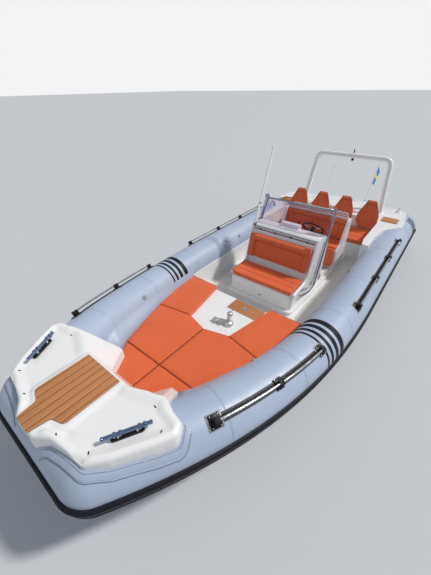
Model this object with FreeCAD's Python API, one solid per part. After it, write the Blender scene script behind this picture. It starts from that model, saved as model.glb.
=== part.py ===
import FreeCAD, Part
import math
import os

# Rigid inflatable boat afloat: a V hull with a decked cockpit, one air tube collar with a squared
# bow, a console with a front bench, a helm seat, an aft bench with four backs over an engine box,
# a hoop over the stern and a sterndrive. Millimetres. +X is the bow, +Y is port, +Z is up.
# The origin is on the waterline, on the centreline, amidships.

Vec = FreeCAD.Vector
X_AXIS = Vec(1, 0, 0)
Y_AXIS = Vec(0, 1, 0)
Z_AXIS = Vec(0, 0, 1)
ORIGIN = Vec(0, 0, 0)

# Air tube
TUBE_R = 280.0
TUBE_Y = 1300.0
TUBE_Z = 560.0
TUBE_AFT_X = -3150.0
TUBE_BEND_X = 300.0
TUBE_CORNER = Vec(3842, 500, 800)
TUBE_BENDS = (Vec(1200, 1268, 570), Vec(2700, 1000, 685), TUBE_CORNER)
CONE_LENGTH = 440.0
CONE_END_R = 120.0
CAP_LENGTH = 40.0
SEAT_GAP = 0.3

# Rub strake round the outside of the tube
STRAKE_TURN = -13.0
STRAKE_HEIGHT = 150.0
STRAKE_BASE = 8.0
STRAKE_RIB = 26.0

# Dark bands over the top of the tube, from just above the strake
BAND_GROUPS = (
    # forward edge x, widths from fore to aft, gap, degrees round the tube where the bands end
    (1638.0, (30.0, 45.0, 60.0, 80.0), 50.0, 168.0),
    (TUBE_AFT_X + 390, (20.0, 28.0, 36.0, 44.0), 34.0, 70.0),
)
BAND_THICK = 2.0
BAND_FROM = 5.0

# Hand rails on the tube shoulder
RAIL_TURN = 55.0
RAIL_RISE = 52.0
RAIL_R = 11.0
RAIL_STRIP_WIDTH = 70.0
RAIL_STRIP_THICK = 5.0
BRACKET_LENGTH = 95.0
BRACKET_WIDTH = 110.0
BRACKET_THICK = 16.0
RAIL_GROUPS = (
    # x of each bracket, from fore to aft
    (3040.0, 2372.0, 1690.0),
    (664.0, -157.0, -917.0, -1680.0),
)

# Hull
FLOOR_Z = 180.0
TRANSOM_X = -3250.0
CHINE_FLAT = 60.0
WALL_GAP = 15.0
HULL_STATIONS = (
    # x, keel z, chine y, chine z, side y, side z
    (TRANSOM_X, -470.0, 1010.0, -70.0, 1290.0, 540.0),
    (-1500.0, -470.0, 1040.0, -65.0, 1290.0, 540.0),
    (500.0, -460.0, 1040.0, -40.0, 1285.0, 545.0),
    (1700.0, -410.0, 960.0, 40.0, 1200.0, 575.0),
    (2600.0, -270.0, 740.0, 170.0, 1010.0, 665.0),
    (3200.0, -30.0, 500.0, 330.0, 780.0, 730.0),
    (3600.0, 260.0, 290.0, 500.0, 580.0, 770.0),
    (3840.0, 560.0, 110.0, 640.0, 480.0, 790.0),
)
BAY_FRONT_X = -2260.0
BAY_AFT_X = TRANSOM_X + 50
BAY_HALF = 560.0
BAY_FLOOR_Z = -110.0

# Bow group, built level and then pitched up about a line across its aft end
BOW_PITCH = 1.5
BOW_X = 1140.0
BOW_PIVOT_Z = 552.0
PAD_TOP = 552.0
PAD_THICK = 72.0
LOCKER_TOP = PAD_TOP - PAD_THICK
PAD_GAP = 3.0
DECK_TOP = 1044.0
TEAK_THICK = 8.0
TEAK_NECK = 120.0
DECK_SKIRT_Z = 940.0
SCOOP_R = 170.0
SCOOP_DEPTH = 24.0

LOCKER_FRONT_X = 3195.0
LOCKER_FLOOR_Z = FLOOR_Z + 30
COCKPIT_AFT_X = -2235.0

# Console
CONSOLE_FRONT_X = 640.0
BENCH_TOP_Z = 515.0

# Helm seat
HELM_FRONT_X = -1000.0
HELM_AFT_X = -1500.0
HELM_HALF = 640.0

# Aft bench and engine box
AFT_FRONT_X = -1760.0
AFT_DECK_Z = 860.0
BOX_TOP_Z = 905.0
BOX_HALF = 640.0
BOX_WALL = 30.0
BENCH_HALF = 985.0


def vector_turned(v, axis, degrees):
    return FreeCAD.Rotation(axis, degrees).multVec(v)


def mirrored(shape):
    return shape.mirror(ORIGIN, Y_AXIS)


def seated(piece, carrier, push):
    """Trims a piece to rest on its carrier with the seat gap, measured along the push direction."""
    grown = carrier.copy()
    grown.translate(push * SEAT_GAP)
    return largest(piece.cut([grown, carrier]))


def both_sides(shape):
    return Part.makeCompound([shape, mirrored(shape)])


def box(x0, x1, y0, y1, z0, z1):
    return Part.makeBox(x1 - x0, y1 - y0, z1 - z0, Vec(x0, y0, z0))


def rod(start, end, radius):
    line = end.sub(start)
    return Part.makeCylinder(radius, line.Length, start, line)


def fused(shapes):
    shapes = [s for s in shapes]
    whole = shapes[0].fuse(shapes[1:]) if len(shapes) > 1 else shapes[0]
    return whole.removeSplitter()


def rounded_wire(points, radii):
    """Closed wire through the points, with an arc of the given radius at each corner."""
    count = len(points)
    starts = []
    ends = []
    middles = []
    for i in range(count):
        here = points[i]
        back = points[i - 1].sub(here)
        ahead = points[(i + 1) % count].sub(here)
        back.normalize()
        ahead.normalize()
        radius = radii[i]
        if radius <= 0:
            starts.append(here)
            ends.append(here)
            middles.append(None)
            continue
        half = math.acos(max(-1.0, min(1.0, back.dot(ahead)))) / 2
        reach = radius / math.tan(half)
        inward = back.add(ahead)
        inward.normalize()
        centre = here.add(inward * (radius / math.sin(half)))
        starts.append(here.add(back * reach))
        ends.append(here.add(ahead * reach))
        middles.append(centre.sub(inward * radius))
    edges = []
    for i in range(count):
        if middles[i] is not None:
            edges.append(Part.Arc(starts[i], middles[i], ends[i]).toShape())
        following = starts[(i + 1) % count]
        if following.sub(ends[i]).Length > 1e-6:
            edges.append(Part.LineSegment(ends[i], following).toShape())
    return Part.Wire(edges)


def largest(shape):
    """The one main solid of a cut, without the slivers that the cut leaves."""
    return max(shape.Solids, key=lambda solid: solid.Volume)


def plan_face(points, z, radii=None):
    radii = radii or [0] * len(points)
    return Part.Face(rounded_wire([Vec(x, y, z) for x, y in points], radii))


def plan_prism(points, z0, z1, radii=None):
    return plan_face(points, z0, radii).extrude(Vec(0, 0, z1 - z0))


def side_prism(points, y0, y1, radii=None):
    radii = radii or [0] * len(points)
    face = Part.Face(rounded_wire([Vec(x, y0, z) for x, z in points], radii))
    return face.extrude(Vec(0, y1 - y0, 0))


def symmetric(points):
    """Half outline from the centreline outwards and back, completed on the other side."""
    return list(points) + [(x, -y) for x, y in reversed(points) if y > 0]


def pipe(points, radius, bends):
    """Round bar through the points, with a tangent arc of the given radius at each inner one."""
    parts = []
    start = points[0]
    for i in range(1, len(points) - 1):
        bend = bends[i - 1]
        here = points[i]
        back = start.sub(here)
        ahead = points[i + 1].sub(here)
        back.normalize()
        ahead.normalize()
        half = math.acos(max(-1.0, min(1.0, back.dot(ahead)))) / 2
        reach = bend / math.tan(half)
        inward = back.add(ahead)
        inward.normalize()
        centre = here.add(inward * (bend / math.sin(half)))
        arc_start = here.add(back * reach)
        parts.append(rod(start, arc_start, radius))
        axis = (back * -1).cross(ahead)
        disc = Part.Face(Part.Wire(Part.makeCircle(radius, arc_start, back)))
        parts.append(disc.revolve(centre, axis, 180 - math.degrees(2 * half)))
        start = here.add(ahead * reach)
    parts.append(rod(start, points[-1], radius))
    return fused(parts)


# Tube path: straight aft, then one arc to each bend point, each tangent to the last, then a turn
# on the spot at the bow corner and a straight run to the centreline

def tube_path():
    here = Vec(TUBE_AFT_X, TUBE_Y, TUBE_Z)
    ahead = Vec(X_AXIS)
    out = Vec(Y_AXIS)
    pieces = [dict(kind="line", start=here, ahead=ahead, out=out, length=TUBE_BEND_X - TUBE_AFT_X)]
    here = Vec(TUBE_BEND_X, TUBE_Y, TUBE_Z)
    for goal in TUBE_BENDS:
        chord = goal.sub(here)
        axis = ahead.cross(chord)
        axis.normalize()
        half = ahead.getAngle(chord)
        radius = chord.Length / 2 / math.sin(half)
        inward = axis.cross(ahead)
        centre = here.add(inward * radius)
        angle = math.degrees(2 * half)
        pieces.append(dict(kind="arc", start=here, ahead=ahead, out=out, centre=centre,
                           axis=axis, angle=angle, length=radius * 2 * half))
        out = vector_turned(out, axis, angle)
        ahead = vector_turned(ahead, axis, angle)
        here = goal
    across = Vec(0, -1, 0)
    axis = ahead.cross(across)
    axis.normalize()
    angle = math.degrees(ahead.getAngle(across))
    pieces.append(dict(kind="corner", start=here, ahead=ahead, out=out, centre=here,
                       axis=axis, angle=angle, length=0.0))
    out = vector_turned(out, axis, angle)
    pieces.append(dict(kind="line", start=here, ahead=across, out=out, length=here.y))
    return pieces


PATH = tube_path()


def path_frame(x):
    """Point, direction and outboard direction where the path before the corner reaches x."""
    for piece in PATH:
        if piece["kind"] == "line":
            if x <= piece["start"].x + piece["length"]:
                point = piece["start"].add(piece["ahead"] * (x - piece["start"].x))
                return point, piece["ahead"], piece["out"]
        elif piece["kind"] == "arc":
            low = 0.0
            high = piece["angle"]
            arm = piece["start"].sub(piece["centre"])
            end = piece["centre"].add(vector_turned(arm, piece["axis"], high))
            if x <= end.x:
                for _ in range(50):
                    middle = (low + high) / 2
                    reached = piece["centre"].add(vector_turned(arm, piece["axis"], middle))
                    if reached.x < x:
                        low = middle
                    else:
                        high = middle
                point = piece["centre"].add(vector_turned(arm, piece["axis"], low))
                return (point, vector_turned(piece["ahead"], piece["axis"], low),
                        vector_turned(piece["out"], piece["axis"], low))
    raise ValueError("x is past the bow corner")


def swept(section, x0=None, x1=None, to_centreline=False):
    """Sweeps a section, made by a function of point, ahead and out, along the port path."""
    x0 = TUBE_AFT_X if x0 is None else x0
    parts = []
    for piece in PATH:
        if piece["kind"] == "line" and piece["ahead"].x > 0.5:
            a = max(x0, piece["start"].x)
            b = piece["start"].x + piece["length"]
            if x1 is not None:
                b = min(b, x1)
            if b - a > 1e-6:
                point = piece["start"].add(piece["ahead"] * (a - piece["start"].x))
                parts.append(section(point, piece["ahead"], piece["out"]).extrude(Vec(b - a, 0, 0)))
        elif piece["kind"] == "arc":
            arm = piece["start"].sub(piece["centre"])
            end = piece["centre"].add(vector_turned(arm, piece["axis"], piece["angle"]))
            a = max(x0, piece["start"].x)
            b = end.x if x1 is None else min(end.x, x1)
            if b - a > 1e-6:
                point, ahead, out = path_frame(a + 1e-9)
                last = path_frame(b - 1e-9)
                turn = math.degrees(ahead.getAngle(last[1]))
                parts.append(section(point, ahead, out).revolve(piece["centre"], piece["axis"], turn))
        elif x1 is None and piece["kind"] == "corner":
            if to_centreline:
                face = section(piece["start"], piece["ahead"], piece["out"])
                parts.append(face.revolve(piece["centre"], piece["axis"], piece["angle"]))
        elif x1 is None and to_centreline:
            face = section(piece["start"], piece["ahead"], piece["out"])
            parts.append(face.extrude(piece["ahead"] * piece["length"]))
    return parts


def disc_section(radius):
    def section(point, ahead, out):
        return Part.Face(Part.Wire(Part.makeCircle(radius, point, ahead)))
    return section


def side_tube(radius, cone=True):
    parts = swept(disc_section(radius))
    grow = radius - TUBE_R
    if cone:
        start = Vec(TUBE_AFT_X, TUBE_Y, TUBE_Z)
        parts.append(Part.makeCone(radius, CONE_END_R + grow, CONE_LENGTH, start, X_AXIS * -1))
    return fused(parts)


def bow_tube(radius):
    """Straight run across the bow with a part of a ball at each corner."""
    corner = PATH[-2]
    run = PATH[-1]
    straight = rod(run["start"], Vec(run["start"].x, -run["start"].y, run["start"].z), radius)
    ball = Part.makeSphere(radius, corner["start"])
    reach = radius * 3
    aft_cut = Part.makeBox(reach, reach * 2, reach * 2, Vec(0, -reach, -reach))
    turn = FreeCAD.Rotation(X_AXIS, corner["ahead"])
    aft_cut.Placement = FreeCAD.Placement(corner["start"], turn)
    outer_cut = box(corner["start"].x - reach, corner["start"].x + reach, corner["start"].y,
                    corner["start"].y + reach, corner["start"].z - reach, corner["start"].z + reach)
    lune = ball.common(aft_cut).common(outer_cut)
    return fused([straight, lune, mirrored(lune)])


def tube_cutter(extra=SEAT_GAP):
    port = side_tube(TUBE_R + extra)
    return [port, mirrored(port), bow_tube(TUBE_R + extra)]


def bow_pitched(shape):
    turned = shape.copy()
    turned.rotate(Vec(BOW_X, 0, BOW_PIVOT_Z), Y_AXIS, -BOW_PITCH)
    return turned


def hull_body():
    wires = []
    for x, keel_z, chine_y, chine_z, side_y, side_z in HULL_STATIONS:
        half = [(0, keel_z), (chine_y, chine_z), (chine_y + CHINE_FLAT, chine_z), (side_y, side_z)]
        corners = [Vec(x, y, z) for y, z in half]
        corners += [Vec(x, -y, z) for y, z in reversed(half[1:])]
        wires.append(Part.makePolygon(corners + [corners[0]]))
    return Part.makeLoft(wires, True, True)


def inner_outline(x_aft, x_front, gap, steps):
    """Half plan outline that keeps a gap inside the tube's inner face."""
    points = [(x_aft, 0)]
    for i in range(steps + 1):
        x = x_aft + (x_front - x_aft) * i / steps
        point, ahead, out = path_frame(x)
        shifted = point.sub(out * (TUBE_R + gap))
        points.append((shifted.x, shifted.y))
    return points


def make_hull():
    hull = hull_body()
    cockpit = inner_outline(COCKPIT_AFT_X, 2780.0, WALL_GAP, 12)
    cockpit += [(2960.0, 500.0), (2960.0, 400.0), (LOCKER_FRONT_X + 5, 252.0), (LOCKER_FRONT_X + 5, 0)]
    hull = hull.cut(plan_prism(symmetric(cockpit), FLOOR_Z, 1200.0))
    hull = hull.cut(box(BAY_AFT_X, BAY_FRONT_X, -BAY_HALF, BAY_HALF, BAY_FLOOR_Z, 1200.0))
    return hull.cut(tube_cutter())


def make_strake():
    height = STRAKE_HEIGHT / 2
    seat = TUBE_R + SEAT_GAP
    inner = math.sqrt(seat * seat - height * height)
    outer = seat + STRAKE_BASE
    rib = seat + STRAKE_RIB
    profile = [
        (inner, -height),
        (outer, -height),
        (outer, -height + 12),
        (rib, -height + 26),
        (rib, -14),
        (outer + 6, -6),
        (outer + 6, 6),
        (rib, 14),
        (rib, height - 26),
        (outer, height - 12),
        (outer, height),
        (inner, height),
    ]

    def section(point, ahead, out):
        reach = vector_turned(out, ahead, STRAKE_TURN)
        rise = ahead.cross(reach)
        corners = [point.add(reach * a).add(rise * b) for a, b in profile]
        seat_arc = Part.Arc(corners[-1], point.add(reach * seat), corners[0]).toShape()
        lines = Part.makePolygon(corners).Edges
        return Part.Face(Part.Wire(lines + [seat_arc]))

    half = swept(section, to_centreline=True)
    return fused(half + [mirrored(s) for s in half])


def arc_section(inner, outer, start, end):
    """Part of a ring between two turns, measured from outboard towards up."""
    def section(point, ahead, out):
        up = ahead.cross(out)

        def at(radius, degrees):
            angle = math.radians(degrees)
            return point.add(out * (radius * math.cos(angle))).add(up * (radius * math.sin(angle)))

        middle = (start + end) / 2
        edges = [
            Part.Arc(at(inner, start), at(inner, middle), at(inner, end)).toShape(),
            Part.LineSegment(at(inner, end), at(outer, end)).toShape(),
            Part.Arc(at(outer, end), at(outer, middle), at(outer, start)).toShape(),
            Part.LineSegment(at(outer, start), at(inner, start)).toShape(),
        ]
        return Part.Face(Part.Wire(edges))
    return section


def make_bands():
    rings = []
    inner = TUBE_R + SEAT_GAP
    for front, widths, gap, turn_end in BAND_GROUPS:
        section = arc_section(inner, inner + BAND_THICK, BAND_FROM, turn_end)
        for width in widths:
            ring = fused(swept(section, front - width, front))
            rings += [ring, mirrored(ring)]
            front -= width + gap
    return Part.makeCompound(rings)


def make_hand_rail(xs):
    """Rod on brackets over a dark strip, along the tube's shoulder."""
    turn = math.radians(RAIL_TURN)
    seat = TUBE_R + SEAT_GAP
    spread = math.degrees(RAIL_STRIP_WIDTH / 2 / seat)
    strip = arc_section(seat, seat + RAIL_STRIP_THICK, RAIL_TURN - spread, RAIL_TURN + spread)
    wide = math.degrees(BRACKET_WIDTH / 2 / seat)
    foot = arc_section(seat, seat + BRACKET_THICK, RAIL_TURN - wide, RAIL_TURN + wide)
    post = arc_section(seat + BRACKET_THICK - 1, seat + RAIL_RISE + RAIL_R + 6,
                       RAIL_TURN - 5, RAIL_TURN + 5)

    def bar(point, ahead, out):
        up = ahead.cross(out)
        reach = seat + RAIL_RISE
        centre = point.add(out * (reach * math.cos(turn))).add(up * (reach * math.sin(turn)))
        return Part.Face(Part.Wire(Part.makeCircle(RAIL_R, centre, ahead)))

    half = BRACKET_LENGTH / 2
    post_half = half * 0.55
    parts = []
    for x in xs:
        parts += swept(foot, x - half, x + half)
        parts += swept(post, x - post_half, x + post_half)
    for fore, aft in zip(xs, xs[1:]):
        parts += swept(strip, aft + half, fore - half)
    parts += swept(bar, min(xs), max(xs))
    return fused(parts)


def make_bow_deck(cutter):
    low = [(3200, 0), (3200, 250), (2960, 400), (2960, 800), (3500, 800), (3900, 420), (3900, 0)]
    high = [(3358, 0), (3358, 350), (3195, 640), (3195, 800), (3500, 800), (3900, 420), (3900, 0)]
    wires = []
    for points, z in ((low, PAD_TOP - 30), (high, DECK_TOP)):
        ring = symmetric(points[1:-1])
        wires.append(rounded_wire([Vec(x, y, z) for x, y in ring], [0] * len(ring)))
    core = Part.makeLoft(wires, True, True)
    skirt_low = [(4078, 140), (3965, 330), (3918, 580), (3400, 950), (3262, 880), (3205, 640), (3340, 350)]
    skirt_high = [(4040, 130), (3925, 315), (3872, 550), (3400, 890), (3300, 835), (3228, 640), (3358, 350)]
    radii = [60, 150, 90, 110, 60, 20, 20]
    wires = []
    for points, z in ((skirt_low, DECK_SKIRT_Z), (skirt_high, DECK_TOP)):
        ring = [(x, y) for x, y in points] + [(x, -y) for x, y in reversed(points)]
        wires.append(rounded_wire([Vec(x, y, z) for x, y in ring], radii + radii[::-1]))
    skirt = Part.makeLoft(wires, True, True)
    # A shallow round valley on each side of the teak's neck
    lift = DECK_TOP + SCOOP_R - SCOOP_DEPTH
    scoop = rod(Vec(3950, TEAK_NECK + 45, lift), Vec(3925, 700, lift), SCOOP_R)
    deck = core.fuse(skirt).cut([scoop, mirrored(scoop)])
    return bow_pitched(deck).cut(cutter)


def make_bow_teak():
    half = [(3376, 240), (3868, 240), (3905, TEAK_NECK), (4066, TEAK_NECK - 25)]
    radii = [8, 40, 45, 25]
    ring = [(x, y) for x, y in half] + [(x, -y) for x, y in reversed(half)]
    z = DECK_TOP + SEAT_GAP
    return bow_pitched(plan_prism(ring, z, z + TEAK_THICK, radii + radii[::-1]))


def make_cleats():
    z = DECK_TOP + SEAT_GAP
    aft = Vec(3461, 745, z)
    fore = Vec(3759, 580, z)
    run = fore.sub(aft)
    parts = []
    for share in (0.24, 0.76):
        foot = aft.add(run * share)
        parts.append(Part.makeCylinder(24, 5, foot))
        parts.append(Part.makeCylinder(11, 46, foot))
    bar = rod(aft.add(Vec(0, 0, 46)), fore.add(Vec(0, 0, 46)), 10)
    cleat = fused(parts + [bar])
    return bow_pitched(both_sides(cleat))


PAD_OUTLINES = {
    "aft": [(1140, 490), (1140, 968), (1600, 925), (2023, 842), (1924, 343)],
    "mid": [(1932, 340), (2032, 842), (2400, 745), (2784, 590), (2784, 1.5), (2030, 1.5)],
    "fore": [(2790, 1.5), (2790, 572), (2955, 495), (2955, 398), (3190, 250), (3190, 1.5)],
}


def make_pads():
    pads = {}
    for place, outline in PAD_OUTLINES.items():
        pad = bow_pitched(plan_prism(outline, PAD_TOP - PAD_THICK + SEAT_GAP, PAD_TOP))
        pads["bow_pad_" + place + "_port"] = pad
        pads["bow_pad_" + place + "_starboard"] = mirrored(pad)
    return pads


LID_X = (1150.0, 1395.0)
LID_Y = (-90.0, 410.0)
LID_THICK = 24.0
LID_GAP = 6.0


def make_locker(cutter, hull):
    half = [(1142, 965), (1600, 922), (2030, 838), (2784, 586), (2955, 492), (2955, 396), (3190, 248)]
    ring = [(x, y) for x, y in half] + [(x, -y) for x, y in reversed(half)]
    body = bow_pitched(plan_prism(ring, FLOOR_Z - 150, LOCKER_TOP))
    body = body.cut(box(900, 3500, -1400, 1400, -500, FLOOR_Z + SEAT_GAP))
    well = box(LID_X[0] - LID_GAP, LID_X[1] + LID_GAP, LID_Y[0] - LID_GAP, LID_Y[1] + LID_GAP,
               LOCKER_TOP - LID_THICK - SEAT_GAP, LOCKER_TOP + 50)
    hold = box(LID_X[0] + 20, LID_X[1] - 20, LID_Y[0] + 20, LID_Y[1] - 20, LOCKER_FLOOR_Z, LOCKER_TOP)
    body = body.cut(bow_pitched(well.fuse(hold)))
    return largest(body.cut(cutter + [hull]))


def make_locker_lid():
    z = LOCKER_TOP
    lid = box(LID_X[0], LID_X[1], LID_Y[0], LID_Y[1], z - LID_THICK, z)
    planks = 5
    width = (LID_X[1] - LID_X[0]) / planks
    for i in range(1, planks):
        x = LID_X[0] + width * i
        lid = lid.cut(box(x - 2, x + 2, LID_Y[0] - 1, LID_Y[1] + 1, z - 3, z + 1))
    centre = Vec((LID_X[0] + LID_X[1]) / 2, (LID_Y[0] + LID_Y[1]) / 2, z - 6)
    boss = Part.makeCylinder(36, 6, centre)
    ring = Part.makeTorus(26, 4, centre.add(Vec(0, 0, 7)))
    return bow_pitched(fused([lid, boss, ring]))


def make_anchor():
    foot = Vec(1690, 150, LOCKER_TOP + SEAT_GAP)
    base = Part.makeSphere(62, foot.add(Vec(0, 0, -14)))
    base = base.common(box(1500, 1900, 0, 400, foot.z, foot.z + 200))
    shank = rod(foot.add(Vec(0, 0, 20)), foot.add(Vec(-40, 10, 190)), 14)
    fluke = rod(foot.add(Vec(0, 0, 24)), foot.add(Vec(60, -170, 40)), 14)
    ring = Part.makeTorus(20, 5, foot.add(Vec(-44, 11, 206)), Vec(0.3, 1, 0))
    return bow_pitched(fused([base, shank, fluke, ring]))


def make_console():
    profile = [
        (CONSOLE_FRONT_X, 240), (CONSOLE_FRONT_X, BENCH_TOP_Z), (172, 532), (-15, 1190),
        (-60, 1212), (-300, 1188), (-480, 1010), (-480, 240),
    ]
    radii = [0, 40, 30, 25, 20, 25, 30, 0]
    body = side_prism(profile, -700, 700, radii)
    half = [(CONSOLE_FRONT_X + 5, 570), (60, 600), (-490, 600)]
    ring = [(x, y) for x, y in half] + [(x, -y) for x, y in reversed(half)]
    plan = plan_prism(ring, 200, 1400, [70, 0, 60, 60, 0, 70])
    return body.common(plan)


def make_plinth():
    ring = [(690, -600), (690, 600), (40, 650), (AFT_FRONT_X + 2, 650), (AFT_FRONT_X + 2, -650), (40, -650)]
    return plan_prism(ring, FLOOR_Z + SEAT_GAP, 240 - SEAT_GAP, [40, 40, 0, 0, 0, 0])


def make_console_pads(console):
    seat = side_prism([(655, 505), (655, 592), (262, 612), (262, 505)], -540, 540, [12, 25, 20, 0])
    back = side_prism([(206, 705), (96, 1108), (0, 1108), (100, 708)], -540, 540, [20, 25, 0, 0])
    return seated(seat, console, Z_AXIS), seated(back, console, X_AXIS)


SCREEN_HALF = 596.0
SCREEN_CORNER = 110.0
SCREEN_THICK = 8.0
SCREEN_TOP_Z = 1580.0
FRAME_R = 13.0
FRAME_Y = 622.0


def make_windscreen(console, frame):
    def ring(front, aft, z):
        half = SCREEN_HALF
        outer = [(aft, half), (front, half), (front, -half), (aft, -half)]
        inner = [(aft, -half + SCREEN_THICK), (front - SCREEN_THICK, -half + SCREEN_THICK),
                 (front - SCREEN_THICK, half - SCREEN_THICK), (aft, half - SCREEN_THICK)]
        inside = SCREEN_CORNER - SCREEN_THICK
        radii = [0, SCREEN_CORNER, SCREEN_CORNER, 0, 0, inside, inside, 0]
        return rounded_wire([Vec(x, y, z) for x, y in outer + inner], radii)

    pane = Part.makeLoft([ring(-92, -326, 1150), ring(-297, -440, SCREEN_TOP_Z)], True, True)
    return largest(pane.cut([console, frame]))


def make_screen_frame(console):
    """One bent bar: from the console's foot up its side, round the screen's top and down again."""
    top_z = SCREEN_TOP_Z + 4
    top_y = SCREEN_HALF - SCREEN_THICK / 2
    side = [Vec(430, FRAME_Y, 430), Vec(60, FRAME_Y, 312), Vec(-120, FRAME_Y, 330),
            Vec(-283, FRAME_Y, 1062), Vec(-352, FRAME_Y, 1225), Vec(-530, top_y, top_z),
            Vec(-301, top_y, top_z)]
    bends = [60, 60, 60, 60, 60, SCREEN_CORNER - SCREEN_THICK / 2]
    other = [Vec(p.x, -p.y, p.z) for p in reversed(side)]
    bar = pipe(side + other, FRAME_R, bends + bends[::-1])
    stays = []
    for turn in (1, -1):
        for x, z in ((-283, 1062), (400, 420)):
            stays.append(rod(Vec(x, turn * 560, z), Vec(x, turn * FRAME_Y, z), 9))
    return fused([bar] + stays).cut(console)


def make_instrument_pod():
    pod = side_prism([(-190, 1180), (-215, 1262), (-300, 1262), (-330, 1170)], -160, 160,
                     [0, 15, 20, 0])
    return pod


WHEEL_HUB = Vec(-500, 290, 1165)
WHEEL_AXIS = Vec(-0.707, 0, 0.707)
WHEEL_R = 175.0


def make_wheel():
    rim = Part.makeTorus(WHEEL_R, 13, WHEEL_HUB, WHEEL_AXIS)
    hub = Part.makeCylinder(34, 26, WHEEL_HUB.sub(WHEEL_AXIS * 20), WHEEL_AXIS)
    side = Vec(0, 1, 0)
    spokes = []
    for turn in (90, 210, 330):
        arm = vector_turned(side, WHEEL_AXIS, turn)
        spokes.append(rod(WHEEL_HUB.add(arm * 10), WHEEL_HUB.add(arm * WHEEL_R), 7))
    return fused([rim, hub] + spokes)


def make_wheel_shaft(console):
    column = Part.makeCylinder(26, 201.5, WHEEL_HUB.sub(WHEEL_AXIS * 222), WHEEL_AXIS)
    return column.cut(console)


def make_throttle(console):
    foot = box(-425, -350, 30, 100, 1020, 1150)
    lever = rod(Vec(-390, 65, 1140), Vec(-405, 65, 1235), 7)
    knob = Part.makeSphere(17, Vec(-405, 65, 1240))
    return fused([foot, lever, knob]).cut(console)


def make_helm_seat():
    profile = [
        (HELM_FRONT_X - 10, 240), (HELM_FRONT_X - 10, 590), (-1150, 700), (-1330, 1090),
        (-1400, 1120), (HELM_AFT_X, 1100), (HELM_AFT_X, 240),
    ]
    radii = [0, 30, 40, 30, 25, 30, 0]
    shell = side_prism(profile, -HELM_HALF, HELM_HALF, radii)
    inner = side_prism([(HELM_FRONT_X + 20, 600), (-1400, 600), (-1450, 1200), (HELM_FRONT_X + 20, 1200)],
                       -HELM_HALF + 38, HELM_HALF - 38)
    return shell.cut(inner)


def make_helm_pads(shell):
    half = HELM_HALF - 40
    seat = side_prism([(-1006, 590), (-1000, 680), (-1392, 700), (-1398, 590)], -half, half,
                      [0, 30, 20, 0])
    apron = side_prism([(-1009, 300), (-950, 310), (-950, 640), (-1009, 690)], -half, half,
                       [10, 20, 30, 20])
    apron = apron.cut(box(-1100, -999.5, -700, 700, 589.5, 800))
    back = side_prism([(-1345, 708), (-1378, 1085), (-1460, 1085), (-1430, 708)], -half, half,
                      [20, 25, 0, 0])
    return (seated(seat, shell, Z_AXIS), seated(apron, shell, X_AXIS), seated(back, shell, X_AXIS))


def make_helm_rail(shell):
    rail = pipe([Vec(-1460, 560, 1090), Vec(-1475, 560, 1185), Vec(-1475, -560, 1185),
                 Vec(-1460, -560, 1090)], 13, [50, 50])
    posts = [rod(Vec(-1465, y, 1090), Vec(-1475, y, 1185), 9) for y in (-190, 190)]
    return fused([rail] + posts).cut(shell)


def make_aft_deck(cutter, hull):
    aft = TRANSOM_X + 5
    back = COCKPIT_AFT_X - 65
    low = FLOOR_Z + SEAT_GAP
    bench = side_prism([(AFT_FRONT_X, low), (AFT_FRONT_X, 505), (back, 600), (back, low)],
                       -BENCH_HALF, BENCH_HALF)
    engine_box = box(aft, COCKPIT_AFT_X, -BOX_HALF, BOX_HALF, 545, BOX_TOP_Z)
    half = [(aft, 600), (aft, 1180), (aft + 165, 1330), (-2500, 1400), (-2250, 1400), (-2120, 1310),
            (-1908, 1158), (-1492, 1105), (-1056, 1113), (-1056, 1000), (-1300, 965),
            (COCKPIT_AFT_X, 965), (COCKPIT_AFT_X, 600)]
    radii = [0, 60, 60, 60, 60, 60, 200, 0, 20, 20, 40, 0, 0]
    wing = plan_prism(half, 430, AFT_DECK_Z, radii)
    deck = fused([bench, engine_box, wing, mirrored(wing)])
    inside = BOX_HALF - BOX_WALL
    rim = HATCH_HALF - BOX_WALL
    deck = deck.cut(box(aft + BOX_WALL, COCKPIT_AFT_X - BOX_WALL, -inside, inside, 200, BOX_TOP_Z - 25))
    deck = deck.cut(box(HATCH_X[0] + BOX_WALL, HATCH_X[1] - BOX_WALL, -rim, rim, 700, 1000))
    shelf = BENCH_HALF - 45
    deck = deck.cut(box(COCKPIT_AFT_X + 1, COCKPIT_AFT_X + 185, -shelf, shelf, 200, 480))
    return deck.cut(cutter).cut(hull)


HATCH_X = (TRANSOM_X + 140, BAY_FRONT_X - 140)
HATCH_HALF = 520.0
HATCH_THICK = 26.0


def make_engine_hatch():
    z = BOX_TOP_Z + SEAT_GAP
    ring = [(HATCH_X[0], -HATCH_HALF), (HATCH_X[0], HATCH_HALF), (HATCH_X[1], HATCH_HALF),
            (HATCH_X[1], -HATCH_HALF)]
    return plan_prism(ring, z, z + HATCH_THICK, [110, 110, 30, 30])


def make_engine():
    return box(BAY_AFT_X + 80, BAY_FRONT_X - 160, -330, 330, BAY_FLOOR_Z + SEAT_GAP, 520)


def make_aft_pad(deck):
    pad = side_prism([(-1742, 495), (-1750, 596), (-2185, 695), (-2185, 560)], -930, 930,
                     [15, 30, 20, 0])
    return seated(pad, deck, Z_AXIS)


SEAT_BACK_Y = (-750.0, -250.0, 250.0, 750.0)


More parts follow.
